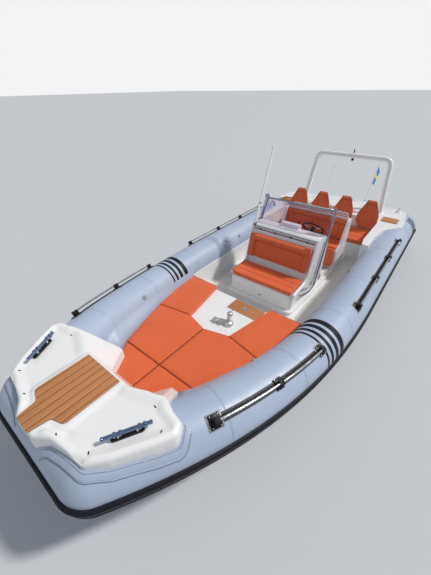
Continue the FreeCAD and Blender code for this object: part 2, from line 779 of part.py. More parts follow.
def make_seat_back(y, deck):
    outline = [(-130, 0), (-200, 120), (-195, 270), (-90, 420), (-85, 530), (85, 530), (90, 420),
               (195, 270), (200, 120), (130, 0)]
    radii = [20, 30, 40, 20, 20, 20, 20, 40, 30, 20]
    bottom = Vec(-2172, y, 722)
    lean = math.radians(14)
    up = Vec(-math.sin(lean), 0, math.cos(lean))
    across = Vec(0, 1, 0)
    points = [bottom.add(across * a).add(up * b) for a, b in outline]
    face = Part.Face(rounded_wire(points, radii))
    back = face.extrude(Vec(-math.cos(lean), 0, -math.sin(lean)) * 66)
    return seated(back, deck, X_AXIS + Z_AXIS)


def make_aft_teak():
    z = AFT_DECK_Z + SEAT_GAP
    step = plan_prism([(-2617, 985), (-2617, 1285), (-2350, 1285), (-2350, 985)], z, z + 10,
                      [15, 15, 15, 15])
    return both_sides(step)


HOOP_FOOT = Vec(TRANSOM_X + 420, 860, AFT_DECK_Z + SEAT_GAP)
HOOP_TOP = Vec(HOOP_FOOT.x - 127, 748, 1885)
HOOP_R = 40.0
HOOP_BEND = 150.0


def make_hoop():
    path = [HOOP_FOOT, HOOP_TOP, Vec(HOOP_TOP.x, -HOOP_TOP.y, HOOP_TOP.z),
            Vec(HOOP_FOOT.x, -HOOP_FOOT.y, HOOP_FOOT.z)]
    bar = pipe(path, HOOP_R, [HOOP_BEND, HOOP_BEND])
    feet = [Part.makeCylinder(HOOP_R + 35, 14, foot) for foot in (path[0], path[-1])]
    hoop = fused([bar] + feet)
    under = HOOP_FOOT.z
    return hoop.cut(box(HOOP_FOOT.x - 270, HOOP_FOOT.x + 230, -1200, 1200, under - 100, under))


def make_whip(hoop):
    foot = Vec(HOOP_TOP.x, 0, HOOP_TOP.z + 9)
    base = Part.makeCylinder(18, 90, foot)
    whip = rod(foot.add(Vec(0, 0, 86)), foot.add(Vec(-53, 6, 606)), 4)
    return fused([base, whip]).cut(hoop)


def make_stern_lamp(hoop):
    return Part.makeCylinder(28, 90, Vec(HOOP_TOP.x, 0, HOOP_TOP.z - 110)).cut(hoop)


def make_light_pole(console):
    top = Vec(-489, -600, 2290)
    pole = rod(Vec(-7, -558, 1150), top, 11)
    foot = Part.makeCylinder(28, 60, Vec(-24, -560, 1160))
    lamp = rod(top, top.add(Vec(-25, -2, 60)), 20)
    return fused([pole, foot, lamp]).cut(console)


STAFF_X = TRANSOM_X + 80
STAFFS = (
    # name of the flag, staff's foot, top and radius, flag's foot z, top z, length and thickness
    ("ensign", Vec(STAFF_X, 430, BOX_TOP_Z), Vec(STAFF_X - 230, 470, 1770), 12.0, 1300.0, 1640.0,
     250.0, 12.0),
    ("pennant", Vec(STAFF_X, -440, BOX_TOP_Z), Vec(STAFF_X - 20, -450, 1640), 7.0, 1515.0, 1625.0,
     130.0, 8.0),
)


def make_staff(foot, top, radius):
    start = foot.add(foot.sub(top) * 0.02)
    staff = fused([rod(start, top, radius), Part.makeCylinder(radius * 2.2, 18, foot)])
    return staff.cut(box(foot.x - 200, foot.x + 200, -600, 600, foot.z - 60, foot.z + SEAT_GAP))


def make_flag(foot, top, radius, low, high, length, thick):
    """Flag flat in the staff's upright plane, against the aft side of the staff."""
    run = top.sub(foot)

    def on_staff(z):
        return foot.add(run * ((z - foot.z) / run.z))

    corners = [on_staff(low), on_staff(high)]
    middle = (corners[0].y + corners[1].y) / 2
    outline = [(corners[0].x, low), (corners[1].x, high), (corners[1].x - length, high),
               (corners[0].x - length, low)]
    flag = side_prism(outline, middle - thick / 2, middle + thick / 2)
    return largest(flag.cut(rod(foot, top, radius + SEAT_GAP)))


def make_platforms():
    root_x = TRANSOM_X - SEAT_GAP
    half = [(root_x, 350), (root_x, 1000), (root_x - 310, 990), (root_x - 390, 900),
            (root_x - 390, 400)]
    wing = plan_prism(half, 240, 285, [0, 0, 60, 60, 60])
    arm = box(root_x - 250, root_x, 600, 700, 120, 240)
    return both_sides(wing.fuse(arm))


STEER_X = TRANSOM_X - 140
TRIM_Z = 30.0
YOKE_R = 48.0
YOKE_HALF = 103.0
STEER_PIN_R = 16.0
TRIM_PIN_R = 18.0
PIN_GAP = 0.05
JAW_THICK = 24.0
EAR_Y = (94.0, 120.0)
HEAD_X = STEER_X - 110.0
SHAFT_Z = -500.0
SHAFT_R = 15.0
TORPEDO_X = STEER_X - 100
TORPEDO_END_X = TORPEDO_X - 230
TORPEDO_R = 58.0
PROPELLERS = (
    # x where the hub begins, hub length, hand of the blades
    (TORPEDO_END_X - 8, 104.0, 1),
    (TORPEDO_END_X - 120, 90.0, -1),
)
BLADE_BACK = 50.0


def make_drive_mount():
    plate = plan_free_box(TRANSOM_X - 45, TRANSOM_X - SEAT_GAP, 190, -230, 210)
    jaws = []
    for low in (YOKE_HALF + 1, -YOKE_HALF - 1 - JAW_THICK):
        jaws.append(box(STEER_X - 30, TRANSOM_X - 45, -60, 60, low, low + JAW_THICK))
    bore = Part.makeCylinder(STEER_PIN_R + PIN_GAP, 400, Vec(STEER_X, 0, -200))
    return plate.fuse(jaws).cut(bore)


def plan_free_box(x0, x1, half, z0, z1):
    """Upright plate across the centreline with rounded lower corners."""
    points = [Vec(x0, -half, z1), Vec(x0, half, z1), Vec(x0, half, z0), Vec(x0, -half, z0)]
    return Part.Face(rounded_wire(points, [20, 20, 90, 90])).extrude(Vec(x1 - x0, 0, 0))


def make_drive_yoke():
    body = Part.makeCylinder(YOKE_R, 2 * YOKE_HALF, Vec(STEER_X, 0, -YOKE_HALF))
    reach = YOKE_HALF + 1 + JAW_THICK
    steer_pin = Part.makeCylinder(STEER_PIN_R, 2 * reach, Vec(STEER_X, 0, -reach))
    trim_pin = Part.makeCylinder(TRIM_PIN_R, 2 * EAR_Y[1], Vec(STEER_X, -EAR_Y[1], TRIM_Z), Y_AXIS)
    return body.fuse([steer_pin, trim_pin])


def make_drive_leg():
    ears = []
    for y0, y1 in (EAR_Y, (-EAR_Y[1], -EAR_Y[0])):
        ear = side_prism([(HEAD_X - 60, TRIM_Z - 70), (HEAD_X - 60, TRIM_Z + 70),
                          (STEER_X + 34, TRIM_Z + 38), (STEER_X + 34, TRIM_Z - 38)], y0, y1,
                         [0, 0, 30, 30])
        ears.append(ear)
    bore = Part.makeCylinder(TRIM_PIN_R + PIN_GAP, 400, Vec(STEER_X, -200, TRIM_Z), Y_AXIS)
    x = HEAD_X
    head = side_prism([(x, 120), (x - 60, 140), (x - 240, 60), (x - 240, -120), (x - 140, -284),
                       (x, -284)], -95, 95, [30, 60, 60, 60, 20, 20])
    strut = side_prism([(x, -290), (x - 235, -290), (x - 215, SHAFT_Z + 20), (x + 20, SHAFT_Z + 20)],
                       -38, 38)
    plate = plan_prism([(x + 20, -60), (x + 20, 60), (x - 200, 115), (x - 400, 100), (x - 400, -100),
                        (x - 200, -115)], -296, -282, [30, 30, 60, 60, 60, 60])
    axis = Vec(TORPEDO_X, 0, SHAFT_Z)
    torpedo = Part.makeCylinder(TORPEDO_R, TORPEDO_X - TORPEDO_END_X, axis, X_AXIS * -1)
    last_x, last_length = PROPELLERS[-1][:2]
    shaft = Part.makeCylinder(SHAFT_R, TORPEDO_END_X - last_x + last_length,
                              Vec(TORPEDO_END_X, 0, SHAFT_Z), X_AXIS * -1)
    nose = Part.makeSphere(TORPEDO_R, axis)
    skeg = side_prism([(x, -540), (x - 200, -540), (x - 200, -690), (x - 160, -715), (x - 100, -700)],
                      -9, 9)
    leg = fused([head] + ears + [strut, plate, torpedo, shaft, nose, skeg])
    return leg.cut(bore)


def make_propeller(x, length, hand):
    hub = Part.makeCone(50, 46, length, Vec(x, 0, SHAFT_Z), X_AXIS * -1)
    parts = [hub]
    centre = Vec(x - BLADE_BACK, 0, SHAFT_Z + 112)
    for i in range(3):
        blade = Part.makeCylinder(78, 8, centre.sub(X_AXIS * 4), X_AXIS)
        blade.rotate(centre, Z_AXIS, hand * 32)
        blade.rotate(Vec(x, 0, SHAFT_Z), X_AXIS, i * 120)
        parts.append(blade)
    bore = Part.makeCylinder(SHAFT_R + PIN_GAP, 400, Vec(x + 50, 0, SHAFT_Z), X_AXIS * -1)
    return fused(parts).cut(bore)


EYE_R = 30.0
EYE_BORE_R = 12.0
EYE_THICK = 14.0
EYES = (
    # name, centre of the bore, point that its neck runs to
    ("tow_eye", Vec(3762, 0, 345), Vec(3690, 0, 420)),
    ("stern_eye_port", Vec(TRANSOM_X - 35, 760, 20), Vec(TRANSOM_X + 10, 760, 20)),
    ("stern_eye_starboard", Vec(TRANSOM_X - 35, -760, 20), Vec(TRANSOM_X + 10, -760, 20)),
)


def make_eye(centre, root, hull):
    half = Vec(0, EYE_THICK / 2, 0)
    disc = Part.makeCylinder(EYE_R, EYE_THICK, centre.sub(half), Y_AXIS)
    run = root.sub(centre)
    side = run.cross(Y_AXIS)
    side.normalize()
    ring = [centre.add(side * EYE_R), root.add(side * EYE_R), root.sub(side * EYE_R),
            centre.sub(side * EYE_R)]
    neck = Part.Face(Part.makePolygon([p.sub(half) for p in ring + ring[:1]])).extrude(half * 2)
    bore = Part.makeCylinder(EYE_BORE_R, EYE_THICK * 2, centre.sub(half * 2), Y_AXIS)
    return disc.fuse(neck).cut(bore).cut(hull)


def make_cone_caps():
    start = Vec(TUBE_AFT_X - CONE_LENGTH - SEAT_GAP, TUBE_Y, TUBE_Z)
    cap = Part.makeCone(CONE_END_R - 4, 70, CAP_LENGTH, start, X_AXIS * -1)
    return both_sides(cap)


def build():
    cutter = tube_cutter()
    hull = make_hull()
    console = make_console()
    frame = make_screen_frame(console)
    hoop = make_hoop()
    nodes = {
        "hull": hull,
        "tube_port": side_tube(TUBE_R),
        "tube_starboard": mirrored(side_tube(TUBE_R)),
        "rub_strake": make_strake(),
        "tube_bands": make_bands(),
        "bow_cleats": make_cleats(),
        "bow_teak": make_bow_teak(),
        "bow_locker": make_locker(cutter, hull),
        "bow_locker_lid": make_locker_lid(),
        "anchor": make_anchor(),
        "console": console,
        "sole_plinth": make_plinth(),
        "screen_frame": frame,
        "instrument_pod": make_instrument_pod().cut(console),
        "windscreen": make_windscreen(console, frame),
        "steering_wheel": make_wheel(),
        "wheel_column": make_wheel_shaft(console),
        "throttle": make_throttle(console),
        "stern_hoop": hoop,
        "whip_aerial": make_whip(hoop),
        "stern_lamp": make_stern_lamp(hoop),
        "light_pole": make_light_pole(console),
        "helm_seat": make_helm_seat(),
        "aft_teak": make_aft_teak(),
        "engine": make_engine(),
        "engine_hatch": make_engine_hatch(),
        "swim_platforms": make_platforms(),
        "tube_end_caps": make_cone_caps(),
        "drive_mount": make_drive_mount(),
        "drive_yoke": make_drive_yoke(),
        "drive_leg": make_drive_leg(),
        "propeller_fore": make_propeller(*PROPELLERS[0]),
        "propeller_aft": make_propeller(*PROPELLERS[1]),
    }
    side_cutter = [nodes["tube_port"], nodes["tube_starboard"]]
    nodes["tube_bow"] = bow_tube(TUBE_R).cut(side_cutter)
    nodes["bow_deck"] = largest(make_bow_deck(cutter).cut([hull]))
    nodes["aft_deck"] = make_aft_deck(cutter, hull)
    nodes["aft_bench_pad"] = make_aft_pad(nodes["aft_deck"])
    nodes["hand_rails"] = Part.makeCompound([both_sides(make_hand_rail(xs)) for xs in RAIL_GROUPS])
    nodes.update(make_pads())
    nodes["console_seat_pad"], nodes["console_back_pad"] = make_console_pads(console)
    nodes["helm_rail"] = make_helm_rail(nodes["helm_seat"])
    seat, apron, back = make_helm_pads(nodes["helm_seat"])
    nodes["helm_seat_pad"] = seat
    nodes["helm_apron_pad"] = apron
    nodes["helm_back_pad"] = back
    for name, centre, root in EYES:
        nodes[name] = make_eye(centre, root, hull)
    for i, y in enumerate(SEAT_BACK_Y):
        nodes["aft_back_%d" % (i + 1)] = make_seat_back(y, nodes["aft_deck"])
    staffs = []
    for name, foot, top, radius, low, high, length, thick in STAFFS:
        staffs.append(make_staff(foot, top, radius))
        nodes[name] = make_flag(foot, top, radius, low, high, length, thick)
    nodes["flag_staffs"] = Part.makeCompound(staffs)
    return nodes


def main():
    os.makedirs("parts", exist_ok=True)
    for name, shape in build().items():
        solids = shape.Solids
        if not shape.isValid() or not solids:
            print("check", name, shape.isValid(), len(solids))
        shape.exportStep("parts/" + name + ".step")
        b = shape.BoundBox
        print("%-24s solids %d  %.0f..%.0f  %.0f..%.0f  %.0f..%.0f" % (
            name, len(solids), b.XMin, b.XMax, b.YMin, b.YMax, b.ZMin, b.ZMax))


main()
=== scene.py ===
import math

import bmesh
import bpy
import numpy as np
from bpy.props import FloatProperty, FloatVectorProperty, PointerProperty
from mathutils import Matrix, Vector, geometry
from mathutils.bvhtree import BVHTree


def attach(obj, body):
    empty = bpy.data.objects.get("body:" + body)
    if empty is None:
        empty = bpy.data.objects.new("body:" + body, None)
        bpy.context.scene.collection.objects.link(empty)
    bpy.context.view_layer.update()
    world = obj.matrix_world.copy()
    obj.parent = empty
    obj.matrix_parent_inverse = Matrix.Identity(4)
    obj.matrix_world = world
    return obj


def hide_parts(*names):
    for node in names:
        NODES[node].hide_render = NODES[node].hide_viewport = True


bl_info = {
    "name": "Rigid inflatable boat",
    "version": (1, 0, 0),
    "blender": (4, 5, 0),
    "location": "3D View > Sidebar > Boat",
    "description": "Dresses the packed boat with its tubes, deck, cushions, rails and flags",
    "category": "Object",
}

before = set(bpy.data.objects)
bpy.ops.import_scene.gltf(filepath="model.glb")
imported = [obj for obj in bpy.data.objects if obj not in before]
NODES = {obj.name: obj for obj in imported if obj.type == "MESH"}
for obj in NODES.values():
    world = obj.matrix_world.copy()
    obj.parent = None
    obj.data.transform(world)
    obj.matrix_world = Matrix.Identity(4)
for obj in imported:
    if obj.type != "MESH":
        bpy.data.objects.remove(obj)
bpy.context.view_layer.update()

ROOT = "hull"
X_DIR, Y, UP = Vector((1, 0, 0)), Vector((0, 1, 0)), Vector((0, 0, 1))
SIDES = (1, -1)


def mm(*values):
    """Pairs in metres from a row of millimetres."""
    return [(a / 1000, b / 1000) for a, b in zip(values[::2], values[1::2])]


# The tube's path, as in the part: straight from aft, then an arc to each bend point
TUBE_R = 0.28
TUBE_START = Vector((-3.15, 1.3, 0.56))
TUBE_BEND = Vector((0.3, 1.3, 0.56))
TUBE_GOALS = (Vector((1.2, 1.268, 0.57)), Vector((2.7, 1.0, 0.685)), Vector((3.842, 0.5, 0.8)))

# The bow group is level in its own drawing and then pitched nose up about this line
BOW_PIVOT = Vector((1.14, 0, 0.552))
BOW_PITCH = math.radians(1.5)
DECK_TOP = 1.044
PAD_TOP = 0.552


# Shapes that the pieces are made of

def turned(v, axis, angle):
    return Matrix.Rotation(angle, 3, axis) @ v


def bow_pitched(p):
    """A point of the level bow drawing, where it lies on the boat."""
    return BOW_PIVOT + turned(Vector(p) - BOW_PIVOT, Y, -BOW_PITCH)


BOW_UP = bow_pitched(UP) - bow_pitched(Vector())


def tube_path():
    pieces = [(TUBE_START, X_DIR, Y, None, None, 0.0)]
    here, ahead, out = TUBE_BEND.copy(), X_DIR, Y
    for goal in TUBE_GOALS:
        chord = goal - here
        axis = ahead.cross(chord).normalized()
        half = ahead.angle(chord)
        radius = chord.length / 2 / math.sin(half)
        centre = here + axis.cross(ahead) * radius
        pieces.append((here.copy(), ahead.copy(), out.copy(), centre, axis, 2 * half))
        out = turned(out, axis, 2 * half)
        ahead = turned(ahead, axis, 2 * half)
        here = goal
    return pieces


PATH = tube_path()


def tube_frame(x, side=1):
    """Centre, direction and outboard direction of the side tube at x."""
    if x <= TUBE_BEND.x:
        start, ahead, out = PATH[0][:3]
        found = (start + ahead * (x - start.x), ahead, out)
    else:
        for start, ahead, out, centre, axis, angle in PATH[1:]:
            arm = start - centre
            if x <= (centre + turned(arm, axis, angle)).x or axis is PATH[-1][4]:
                low, high = 0.0, angle
                for _ in range(40):
                    middle = (low + high) / 2
                    if (centre + turned(arm, axis, middle)).x < x:
                        low = middle
                    else:
                        high = middle
                found = (centre + turned(arm, axis, low), turned(ahead, axis, low),
                         turned(out, axis, low))
                break
    if side < 0:
        found = tuple(Vector((v.x, -v.y, v.z)) for v in found)
    return found


def on_tube(x, degrees, lift=0.0, side=1):
    """Point on the tube and its outward direction, by the turn from outboard towards up."""
    centre, ahead, out = tube_frame(x, side)
    up = ahead.cross(out) if side > 0 else out.cross(ahead)
    away = out * math.cos(math.radians(degrees)) + up * math.sin(math.radians(degrees))
    return centre + away * (TUBE_R + lift), away


def placed(name, mesh):
    piece = bpy.data.objects.new(name, mesh)
    bpy.context.scene.collection.objects.link(piece)
    return piece


def new_mesh(name, verts, faces, finish=None, smooth=35.0):
    mesh = bpy.data.meshes.new(name)
    mesh.from_pydata([tuple(v) for v in verts], [], faces)
    mesh.validate()
    bm = bmesh.new()
    bm.from_mesh(mesh)
    bmesh.ops.recalc_face_normals(bm, faces=bm.faces)
    return from_bmesh(name, bm, finish, smooth, mesh)


def from_bmesh(name, bm, finish, smooth=35.0, mesh=None):
    """A piece of the scene from an edited mesh; a smooth of None leaves it as it is."""
    mesh = mesh or bpy.data.meshes.new(name)
    bm.to_mesh(mesh)
    bm.free()
    piece = placed(name, mesh)
    if finish is not None:
        mesh.materials.append(use(finish))
    if smooth is not None:
        shade(piece, smooth)
    return piece


def grid_faces(rows, size, around=True, closed=False):
    """Faces of a grid of vertices, kept row by row, that may close on itself either way."""
    faces = []
    for i in range(rows if closed else rows - 1):
        a, b = i * size, (i + 1) % rows * size
        for k in range(size if around else size - 1):
            m = (k + 1) % size
            faces.append((a + k, a + m, b + m, b + k))
    return faces


def shade(piece, degrees=35.0):
    piece.data.shade_smooth()
    bm = bmesh.new()
    bm.from_mesh(piece.data)
    limit = math.radians(degrees)
    for edge in bm.edges:
        if len(edge.link_faces) == 2:
            edge.smooth = edge.calc_face_angle(0.0) < limit
    bm.to_mesh(piece.data)
    bm.free()


def joined(name, pieces, finish=None):
    """One piece of several meshes, each keeping its own finish."""
    target = bpy.data.meshes.new(name)
    bm = bmesh.new()
    finishes = []
    for piece in pieces:
        start = len(bm.faces)
        data = piece.data
        used = data.materials[0] if data.materials else use(finish)
        if used not in finishes:
            finishes.append(used)
        data.transform(piece.matrix_world)
        bm.from_mesh(data)
        bm.faces.ensure_lookup_table()
        for face in bm.faces[start:]:
            face.material_index = finishes.index(used)
        bpy.data.objects.remove(piece)
        bpy.data.meshes.remove(data)
    bm.to_mesh(target)
    bm.free()
    for used in finishes:
        target.materials.append(used)
    return placed(name, target)


def applied(piece):
    """Replaces the piece's mesh with the result of its modifiers."""
    bpy.context.view_layer.update()
    deps = bpy.context.evaluated_depsgraph_get()
    mesh = bpy.data.meshes.new_from_object(piece.evaluated_get(deps))
    piece.modifiers.clear()
    old = piece.data
    piece.data = mesh
    bpy.data.meshes.remove(old)
    return piece


def rounded(points, radii, steps=8, closed=True):
    """Points of a line with an arc at each corner."""
    line = []
    count = len(points)
    points = [Vector(p) for p in points]
    for i, here in enumerate(points):
        radius = radii[i] if hasattr(radii, "__len__") else radii
        if radius <= 0 or (not closed and i in (0, count - 1)):
            line.append(here)
            continue
        back = (points[i - 1] - here).normalized()
        ahead = (points[(i + 1) % count] - here).normalized()
        half = back.angle(ahead) / 2
        reach = radius / math.tan(half)
        centre = here + (back + ahead).normalized() * (radius / math.sin(half))
        start = (here + back * reach - centre).normalized()
        end = (here + ahead * reach - centre).normalized()
        for k in range(steps + 1):
            line.append(centre + start.slerp(end, k / steps) * radius)
    return line


def circle(radius, count=12):
    angles = [2 * math.pi * k / count for k in range(count)]
    return [(radius * math.cos(a), radius * math.sin(a)) for a in angles]


def ring_about(centre, axis, radius, count):
    side = axis.orthogonal().normalized()
    other = axis.cross(side)
    return [centre + side * a + other * b for a, b in circle(radius, count)]


def sweep(name, points, section, finish, normals=None, closed=False, smooth=35.0):
    """A section of (across, outward) pairs carried along a line; normals give outward."""
    points = [Vector(p) for p in points]
    count, size = len(points), len(section)
    verts = []
    outward = None
    for i, here in enumerate(points):
        ahead = points[(i + 1) % count] if closed or i < count - 1 else here
        back = points[i - 1] if closed or i > 0 else here
        run = (ahead - back).normalized()
        if normals is not None:
            outward = Vector(normals[i])
        elif outward is None:
            outward = run.orthogonal()
        outward = (outward - run * outward.dot(run)).normalized()
        across = run.cross(outward)
        verts += [here + across * a + outward * b for a, b in section]
    faces = grid_faces(count, size, closed=closed)
    if not closed:
        faces += [tuple(range(size))[::-1], tuple(range((count - 1) * size, count * size))]
    return new_mesh(name, verts, faces, finish, smooth)


def bar(name, points, radius, finish, bends=0.0, closed=False, count=14):
    line = rounded(points, bends, 8, closed) if bends else [Vector(p) for p in points]
    return sweep(name, line, circle(radius, count), finish, closed=closed, smooth=60.0)


def turned_part(name, origin, axis, profile, finish, count=28, smooth=35.0):
    """A turned piece: (radius, height) pairs about an axis from an origin."""
    axis = Vector(axis).normalized()
    verts, faces, rows = [], [], []
    for radius, height in profile:
        base = Vector(origin) + axis * height
        ring = [base] if radius < 1e-6 else ring_about(base, axis, radius, count)
        rows.append(list(range(len(verts), len(verts) + len(ring))))
        verts += ring
    for low, high in zip(rows, rows[1:]):
        for k in range(count):
            m = (k + 1) % count
            if len(low) == 1:
                faces.append((low[0], high[m], high[k]))
            elif len(high) == 1:
                faces.append((low[k], low[m], high[0]))
            else:
                faces.append((low[k], low[m], high[m], high[k]))
    for row in (rows[0][::-1], rows[-1]):
        if len(row) > 1:
            faces.append(tuple(row))
    return new_mesh(name, verts, faces, finish, smooth)


def block(name, low, high, finish, bevel=0.003, turn=None):
    """A box with rounded edges, turned about its middle if a turn is given."""
    low, high = Vector(low), Vector(high)
    middle, size = (low + high) / 2, high - low
    bm = bmesh.new()
    bmesh.ops.create_cube(bm, size=1.0)
    bmesh.ops.scale(bm, vec=size, verts=bm.verts)
    bmesh.ops.bevel(bm, geom=bm.edges[:], offset=min(bevel, min(size) * 0.45), segments=3,
                    affect="EDGES", profile=0.5)
    if turn is not None:
        bmesh.ops.rotate(bm, cent=(0, 0, 0), matrix=turn, verts=bm.verts)
    bmesh.ops.translate(bm, vec=middle, verts=bm.verts)
    return from_bmesh(name, bm, finish)


def slab(name, outline, direction, thick, finish, bevel=0.002):
    """A flat outline of points given thickness along a direction, with rounded edges."""
    bm = bmesh.new()
    face = bm.faces.new([bm.verts.new(p) for p in outline])
    face.normal_update()
    made = bmesh.ops.extrude_face_region(bm, geom=[face])
    moved = [v for v in made["geom"] if isinstance(v, bmesh.types.BMVert)]
    bmesh.ops.translate(bm, vec=Vector(direction).normalized() * thick, verts=moved)
    bmesh.ops.recalc_face_normals(bm, faces=bm.faces)
    rims = [e for e in bm.edges if len(e.link_faces) == 2 and e.calc_face_angle(0) > 1.0]
    bmesh.ops.bevel(bm, geom=rims, offset=bevel, segments=2, affect="EDGES", profile=0.5)
    return from_bmesh(name, bm, finish)


def fitted(piece, body=ROOT, stands_for=()):
    """Sets a finished piece on its body and the nodes it stands for."""
    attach(piece, body)
    if stands_for:
        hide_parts(*stands_for)
    return piece


# Finishes, which take their colours from the settings

class Finish:
    """A node material: one shader, with colour, roughness and relief from textures in metres."""

    def __init__(self, name, colour, rough, metallic=0.0, coat=0.0, sheen=0.0, specular=0.5):
        self.material = bpy.data.materials.new(name)
        self.material.use_nodes = True
        self.tree = self.material.node_tree
        self.shader = self.tree.nodes["Principled BSDF"]
        self.colour = tuple(colour) + (1.0,)
        self.set(self.shader, {"Base Color": self.colour, "Roughness": rough,
                               "Metallic": metallic, "Coat Weight": coat,
                               "Coat Roughness": 0.08, "Sheen Weight": sheen,
                               "Sheen Roughness": 0.5, "Specular IOR Level": specular})
        self.place = self.node("ShaderNodeTexCoord").outputs["Object"]
        self.relief = None
        self.shown = None

    def set(self, node, values):
        for socket, value in values.items():
            node.inputs[socket].default_value = value

    def node(self, kind, values=None, **settings):
        made = self.tree.nodes.new(kind)
        for key, value in settings.items():
            setattr(made, key, value)
        self.set(made, values or {})
        return made

    def link(self, source, target):
        self.tree.links.new(source, target)

    def stretched(self, scale):
        mapping = self.node("ShaderNodeMapping", {"Scale": scale})
        self.link(self.place, mapping.inputs["Vector"])
        return mapping.outputs["Vector"]

    def noise(self, scale, detail, place=None, rough=0.55, distortion=0.0):
        made = self.node("ShaderNodeTexNoise", {"Scale": scale, "Detail": detail,
                                                "Roughness": rough, "Distortion": distortion})
        self.link(place or self.place, made.inputs["Vector"])
        return made.outputs["Fac"]

    def cells(self, scale, feature="F1"):
        made = self.node("ShaderNodeTexVoronoi", {"Scale": scale}, feature=feature)
        self.link(self.place, made.inputs["Vector"])
        return made.outputs["Distance"]

    def ramp(self, fac, low, high, start=0.0, end=1.0):
        made = self.node("ShaderNodeMapRange", {"From Min": low, "From Max": high,
                                                "To Min": start, "To Max": end})
        self.link(fac, made.inputs["Value"])
        return made.outputs["Result"]

    def height(self):
        made = self.node("ShaderNodeSeparateXYZ")
        self.link(self.place, made.inputs[0])
        return made.outputs[2]

    def tint(self, fac, colour, amount):
        """Blends a colour over what the shader shows, by a factor."""
        weaker = self.node("ShaderNodeMath", {1: amount}, operation="MULTIPLY")
        self.link(fac, weaker.inputs[0])
        made = self.node("ShaderNodeMix", data_type="RGBA")
        self.set(made, {6: self.colour, 7: tuple(colour) + (1.0,)})
        self.link(weaker.outputs[0], made.inputs[0])
        if self.shown is not None:
            self.link(self.shown, made.inputs[6])
        self.shown = made.outputs[2]
        self.link(self.shown, self.shader.inputs["Base Color"])

    def roughened(self, fac, low, high):
        self.link(self.ramp(fac, 0.3, 0.7, low, high), self.shader.inputs["Roughness"])

    def raised(self, height, depth, strength):
        """Adds relief of a depth in metres."""
        made = self.node("ShaderNodeBump", {"Strength": strength, "Distance": depth})
        self.link(height, made.inputs["Height"])
        if self.relief is not None:
            self.link(self.relief, made.inputs["Normal"])
        self.relief = made.outputs["Normal"]
        self.link(self.relief, self.shader.inputs["Normal"])


def shifted(colour, factor):
    return tuple(max(0.0, min(1.0, c * factor)) for c in colour)


